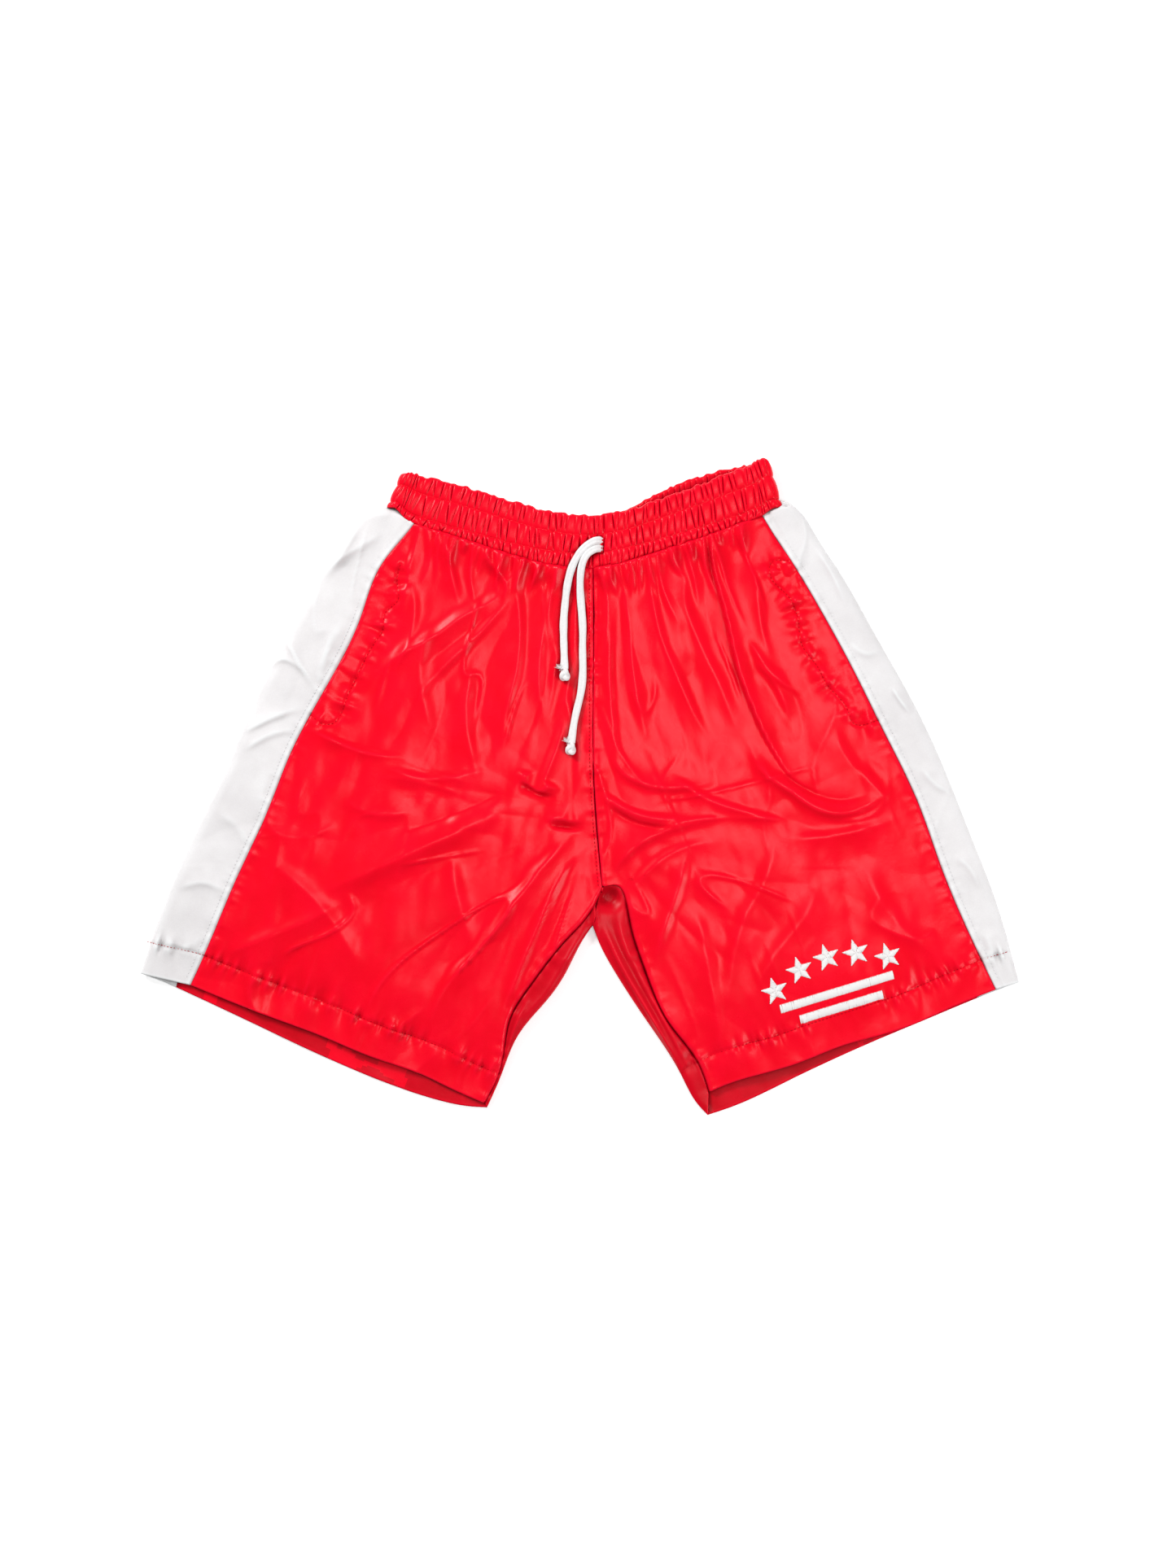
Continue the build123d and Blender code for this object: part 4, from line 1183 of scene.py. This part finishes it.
def build_stitching():
    """Every row of stitching on the legs and on the band."""
    for side in (RIGHT, LEFT):
        name, lines = NAMES[side], LINES[side]
        hem = beside(lines["whole_hem"], HEM_DEPTH * -side)
        hem = hem[np.abs(hem[:, 0]) < 384]
        if side == LEFT:
            hem = hem[nearest(hem[:, 0], hem[:, 1], lines["inseam"])[0] > 1.5]
            hem = hem[(hem[:, 0] < BAR_SPAN[0]) | (hem[:, 0] > BAR_SPAN[1])]
        else:
            hem = hem[hem[:, 0] < -76]
        back_row = beside(lines["back_hem"], HEM_DEPTH * -side)
        inner_ok = np.abs(nearest(back_row[:, 0], back_row[:, 1], lines["inner_leg"])[0]) > 6
        back_row = back_row[(np.abs(back_row[:, 0]) < 366) & inner_ok]
        path = on_back(back_row, side)
        groups = [row_of_stitches(on_front(hem, side)), row_of_stitches(path, under_side(path))]
        obj = threads_mesh(f"hem_stitching_{name}_thread", groups)
        dress(obj, RED_THREAD, [f"hem_stitching_{name}"], BODY[side])
        seam = lines["stripe"]
        top = seam[(seam[:, 1] < 216) & (seam[:, 1] > -172)]
        obj = threads_mesh(f"stripe_topstitching_{name}_thread",
                           [row_of_stitches(on_front(beside(top, side * TOPSTITCH_INSET), side))])
        dress(obj, WHITE_THREAD, [f"stripe_topstitching_{name}"], BODY[side])
        groups = [row_of_stitches(on_front(lines["pocket"], side))]
        obj = threads_mesh(f"pocket_stitching_{name}_thread", groups)
        dress(obj, RED_THREAD, [f"pocket_stitching_{name}"], BODY[side])
        groups = []
        start, end = band_turns(side)
        turns = np.linspace(start + 0.004, end - 0.004, 600)
        share = band_frame(turns, 0 * turns)[5]
        for tall in (0 * turns + ROW_TOP, row_share(share)):
            x, y, z = band_surface(turns, tall)
            out = band_frame(turns, tall)
            ups = np.stack([out[3], 0 * out[3], out[4]], axis=1)
            path = np.stack([x, y, z], axis=1) + 0.12 * ups
            groups.append(row_of_stitches(path, ups))
        obj = threads_mesh(f"waistband_stitching_{name}_thread", groups)
        shade_smooth(obj)
        dress(obj, RED_THREAD, [f"waistband_stitching_{name}"], None)
        fold_with_half(obj)
    rise = beside(LINES[RIGHT]["centre"], -RISE_INSET)
    rise = rise[rise[:, 1] < 190]
    obj = threads_mesh("rise_stitching_thread", [row_of_stitches(on_front(rise, RIGHT))])
    dress(obj, RED_THREAD, ["rise_stitching"], None)
    fold_with_half(obj)


# ---- drawcord --------------------------------------------------------------------
SLIT_X, SLIT_LOW, SLIT_HIGH = 17.6, 206.5, 220.5
CORD_LENGTHS = {"short": 0.1255, "long": 0.1802}  # in metres, from the exit to the knot
KNOT_REACH, FRAYS = 5.2, 46  # a knot's middle past the cord's end, and the threads in its tail


def spline_line(points):
    """The smooth NURBS line that a route's points control, as points in millimetres."""
    curve = bpy.data.curves.new("route", "CURVE")
    curve.dimensions = "3D"
    spline = curve.splines.new("NURBS")
    spline.points.add(len(points) - 1)
    for knot, place in zip(spline.points, points):
        knot.co = (*(v * MM for v in place), 1)
    spline.order_u = 3
    spline.use_endpoint_u = True
    spline.resolution_u = 20
    holder = bpy.data.objects.new("route", curve)
    bpy.context.scene.collection.objects.link(holder)
    seen = holder.evaluated_get(bpy.context.evaluated_depsgraph_get())
    mesh = bpy.data.meshes.new_from_object(seen)
    line = np.array([v.co for v in mesh.vertices]) / MM
    bpy.data.objects.remove(holder)
    return line


def tube(line, section, closed=False):
    """Rings of points round a line, and how many each has. section gives the half width and height."""
    around = 28
    run = np.gradient(line, axis=0)
    if closed:
        run = np.roll(line, -1, axis=0) - np.roll(line, 1, axis=0)
    run /= np.linalg.norm(run, axis=1, keepdims=True)
    across = np.cross([0.0, 0.0, 1.0], run)
    across /= np.maximum(np.linalg.norm(across, axis=1, keepdims=True), 1e-9)
    up = np.cross(run, across)
    angle = 2 * math.pi * np.arange(around) / around
    share = np.linspace(0, 1, len(line))[:, None]
    wide, high = section(share, angle[None])
    points = line[:, None] + wide[..., None] * across[:, None] + high[..., None] * up[:, None]
    return points, around


def cord_section(share, angle, rings):
    """A soft flat braid: a dimple along its middle, and small braided ribs."""
    ribs = 0.07 * np.sin(10 * angle + rings * share) * np.cos(10 * angle - rings * share)
    dimple = 1 - 0.34 * np.exp(-((np.cos(angle) / 0.2) ** 2))
    swell = 1 + 0.04 * np.sin(19 * share + 1) + 0.03 * np.sin(47 * share)
    wide = (0.5 * CORD_WIDE * swell + ribs) * np.sign(np.cos(angle)) * np.abs(np.cos(angle)) ** 0.85
    high = (0.5 * CORD_THICK * dimple + ribs) * np.sin(angle)
    return wide, high


def knot_points(centre, heading):
    """An overhand knot drawn tight, with a short frayed tail: its points and quads."""
    t = np.linspace(0, 2 * math.pi, 241)[:-1]
    local = np.stack([
        1.02 * (np.sin(t) + 2 * np.sin(2 * t)),
        1.62 * (np.cos(t) - 2 * np.cos(2 * t)),
        -1.55 * np.sin(3 * t),
    ], axis=1)
    forward = np.array([heading[0], heading[1], 0.0])
    forward /= np.linalg.norm(forward)
    sideways = np.array([-forward[1], forward[0], 0.0])
    basis = np.stack([sideways, forward, [0.0, 0.0, 1.0]])
    line = np.asarray(centre) + local @ basis

    def section(share, angle):
        ribs = 0.06 * np.sin(9 * angle + 500 * share) * np.cos(9 * angle - 500 * share)
        pull = 1 + 0.1 * np.cos(6 * math.pi * share)
        return (2.1 * pull + ribs) * np.cos(angle), (1.8 * pull + ribs) * np.sin(angle)

    points, around = tube(line, section, closed=True)
    rows = np.concatenate([points, points[:1]])
    groups = [(rows.reshape(-1, 3), grid_faces(len(rows), around, 0, True))]
    rng = np.random.default_rng(89)
    root = np.asarray(centre) - KNOT_REACH * forward - 2.6 * sideways + [0, 0, 0.6]
    spread = rng.normal(0, 0.36, (FRAYS, 3))
    aims = -0.55 * forward - 0.65 * sideways + spread
    aims[:, 2] = np.abs(aims[:, 2]) * 0.6
    reach = rng.uniform(2.2, 4.8, (FRAYS, 1))
    starts = root + 0.9 * rng.normal(0, 0.45, (FRAYS, 3))
    groups.append(threads(starts, starts + aims * reach, 0.17, arch=0.2))
    return groups


def cord_paint():
    """Soft white cotton-like braid."""
    material, links, shader, add = nodes_of("white_cord_braid")
    place = add("ShaderNodeTexCoord").outputs["Object"]
    braid = add("ShaderNodeTexVoronoi", Scale=900.0)
    fuzz = add("ShaderNodeTexNoise", Scale=400.0, Detail=4.0)
    for node in (braid, fuzz):
        links.new(place, node.inputs["Vector"])
    links.new(colour_between(add, links, fuzz.outputs["Fac"], (0.76, 0.745, 0.745), (0.92, 0.91, 0.91)),
              shader.inputs["Base Color"])
    bump = add("ShaderNodeBump", Strength=0.5, Distance=0.0003)
    links.new(braid.outputs["Distance"], bump.inputs["Height"])
    links.new(bump.outputs["Normal"], shader.inputs["Normal"])
    shader.inputs["Roughness"].default_value = 0.8
    shader.inputs["Specular IOR Level"].default_value = 0.2
    shader.inputs["Sheen Weight"].default_value = 0.25
    return material


CORD = cord_paint()


def build_drawcord():
    """The two free ends with their knots."""
    for name, route in ROUTES.items():
        line = evenly(spline_line(route), int(CORD_LENGTHS[name] / MM / 0.55))
        rings = CORD_LENGTHS[name] / MM / 0.9 * math.pi
        points, around = tube(line, partial(cord_section, rings=rings))
        rows = len(line)
        obj = new_mesh(f"drawcord_{name}_end", points.reshape(-1, 3), grid_faces(rows, around, 0, True))
        dress(obj, CORD, [f"drawcord_end_{name}"], None)
        heading = line[-1] - line[-8]
        heading /= np.linalg.norm(heading)
        centre = line[-1] + KNOT_REACH * np.array([heading[0], heading[1], 0.0])
        knot = threads_mesh(f"drawcord_{name}_knot", knot_points(centre, heading))
        dress(knot, CORD, [f"drawcord_knot_{name}"], f"{name}_cord_tip")
        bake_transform(obj)


def build_buttonhole():
    """Close zigzag stitches round the slit."""
    rows = np.linspace(SLIT_LOW, SLIT_HIGH, 34)
    starts, ends = [], []
    for lean, x in ((1, SLIT_X - 1.5), (-1, SLIT_X + 1.5)):
        for y in rows:
            starts.append((x - 1.0, y))
            ends.append((x + 1.0, y + 0.25 * lean))
    for y in (SLIT_LOW - 0.8, SLIT_LOW - 0.3, SLIT_HIGH + 0.3, SLIT_HIGH + 0.8):
        starts.append((SLIT_X - 2.4, y))
        ends.append((SLIT_X + 2.4, y))
    high = np.full(len(starts), WALL_FRONT + BAND_PUFF + 0.7)
    group = threads(np.column_stack([starts, high]), np.column_stack([ends, high]), 0.24)
    obj = threads_mesh("buttonhole_thread", [group])
    dress(obj, RED_THREAD, ["buttonhole_stitching"], None)
    fold_with_half(obj)


# ---- embroidery ------------------------------------------------------------------
MOTIF_CENTRE, MOTIF_TILT = (222.0, -166.0), math.radians(17.0)
STAR_RADIUS, STAR_WAIST, STAR_PITCH, STAR_ROW, STAR_ARCH = 12.5, 0.42, 26.0, 2.0, 15.0
BARS, BAR_HIGH = [(104.0, -19.0), (76.0, -33.0)], 8.0
EMBROIDERY_PITCH, EMBROIDERY_THREAD = 0.62, 0.40
BACKING_WIDE, BACKING_TALL = 138.0, 78.0
BACKING_UNDER, BACKING_CLOTH = 1.3, 0.3  # its depth under the leg's upper face, and its thickness


def to_leg(u, v):
    """A place on the motif, as a place on the leg."""
    x = MOTIF_CENTRE[0] + u * math.cos(MOTIF_TILT) - v * math.sin(MOTIF_TILT)
    y = MOTIF_CENTRE[1] + u * math.sin(MOTIF_TILT) + v * math.cos(MOTIF_TILT)
    return x, y


def star_threads(cx, cy):
    """Satin stitches across each of a star's five arms."""
    starts, ends = [], []
    waist = STAR_WAIST * STAR_RADIUS
    widest, half = waist * math.cos(math.pi / 5), waist * math.sin(math.pi / 5)
    for arm in range(5):
        angle = math.pi / 2 + 2 * math.pi * arm / 5
        ax, ay = math.cos(angle), math.sin(angle)
        for t in np.arange(0.6, STAR_RADIUS - 0.3, EMBROIDERY_PITCH):
            w = half * (t / widest if t < widest else (STAR_RADIUS - t) / (STAR_RADIUS - widest)) + 0.2
            starts.append((cx + t * ax - w * ay, cy + t * ay + w * ax))
            ends.append((cx + t * ax + w * ay, cy + t * ay - w * ax))
    return starts, ends


def bar_threads(width, low):
    """Satin stitches across a bar."""
    at = np.arange(-0.5 * width, 0.5 * width, EMBROIDERY_PITCH)
    return [(u, low) for u in at], [(u + 0.5, low + BAR_HIGH) for u in at]


def build_embroidery():
    """The motif and the stabiliser behind it."""
    starts, ends = [], []
    for count in range(-2, 3):
        a, b = star_threads(count * STAR_PITCH, STAR_ROW + STAR_ARCH * (1 - (count / 2) ** 2))
        starts += a
        ends += b
    for width, low in BARS:
        a, b = bar_threads(width, low)
        starts += a
        ends += b
    rng = np.random.default_rng(5)
    placed = []
    for spots in (starts, ends):
        u, v = (np.array(spots) + rng.normal(0, 0.09, (len(spots), 2))).T
        x, y = to_leg(u, v)
        placed.append(np.column_stack([x, y, front_height(x, y, LEFT) + 0.34]))
    obj = threads_mesh("embroidery_motif_thread", [threads(*placed, EMBROIDERY_THREAD, arch=1.4)])
    dress(obj, RAYON, ["embroidery_motif"], BODY[LEFT])
    u, v = np.meshgrid(np.linspace(-0.5, 0.5, 70) * BACKING_WIDE, np.linspace(0.5, -0.5, 40) * BACKING_TALL)
    x, y = to_leg(u, v)
    backing = sheet_mesh("embroidery_backing_sheet", [(x, y, front_height(x, y, LEFT) - BACKING_UNDER)])
    face_out(backing, True)
    thicken(backing, BACKING_CLOTH, None, BACKING_CLOTH)
    dress(backing, WHITE, ["embroidery_backing"], BODY[LEFT])


# ---- hidden pieces ---------------------------------------------------------------
POCKET_TOP, POCKET_FLOOR, POCKET_MIDDLE, POCKET_LOFT = 190.0, 18.0, 5.2, 0.75
POCKET_CLOTH = 0.22


def build_pockets():
    """The two pocket bags inside the front panels."""
    for side in (RIGHT, LEFT):
        seam = LINES[side]["stripe"]
        outer = seam[(seam[:, 1] < POCKET_TOP) & (seam[:, 1] > POCKET_FLOOR + 30)] + [side * 7.0, 0]
        outer = np.concatenate([outer, [[outer[-1, 0] - side * 26, POCKET_FLOOR + 4]]])
        inner_x = side * 98 + 14
        inner = np.array([(inner_x + side * 8, POCKET_TOP), (inner_x, 110), (inner_x, 50),
                          (inner_x + side * 24, POCKET_FLOOR)])
        top = np.array([inner[0], 0.5 * (inner[0] + outer[0]), outer[0]])
        foot = np.array([inner[-1], 0.5 * (inner[-1] + outer[-1]), outer[-1]])
        x, y = coons(top, foot, inner, outer, 60, 50)
        i, j = np.meshgrid(np.linspace(0, 1, 60), np.linspace(0, 1, 50), indexing="ij")
        puff = (16 * i * (1 - i) * j * (1 - j)) ** 0.3
        sag = 0.4 * value_noise(x, y, 30, 55)
        layers = []
        for face in (1, -1):
            z = POCKET_MIDDLE + sag + face * (POCKET_LOFT * puff + 0.2)
            layers.append(np.stack([x, y, z], axis=-1))
        rows = np.concatenate([layers[0], layers[1][:, ::-1]], axis=1)
        obj = new_mesh(f"pocket_bag_{NAMES[side]}_cloth", rows.reshape(-1, 3),
                       grid_faces(rows.shape[0], rows.shape[1], 0, True))
        weld(obj, 0.05)
        face_out(obj, True)
        thicken(obj, POCKET_CLOTH, None, POCKET_CLOTH)
        dress(obj, RED, [f"pocket_bag_{NAMES[side]}"], BODY[side])


def build_inside_band():
    """The elastic and the drawcord's run inside the casing."""
    ring("waist_elastic_webbing", 0.08, 0.92, -0.15, 0.5, WHITE_THREAD, "waist_elastic", 0.05)
    ring("drawcord_inner_run", 0.41, 0.53, 0.95, 0.9, CORD, "drawcord_run", 0.1)


add_stage()
build_drawcord()
build_buttonhole()
build_panels()
build_waistband()
build_inside_band()
build_stitching()
build_embroidery()
build_pockets()
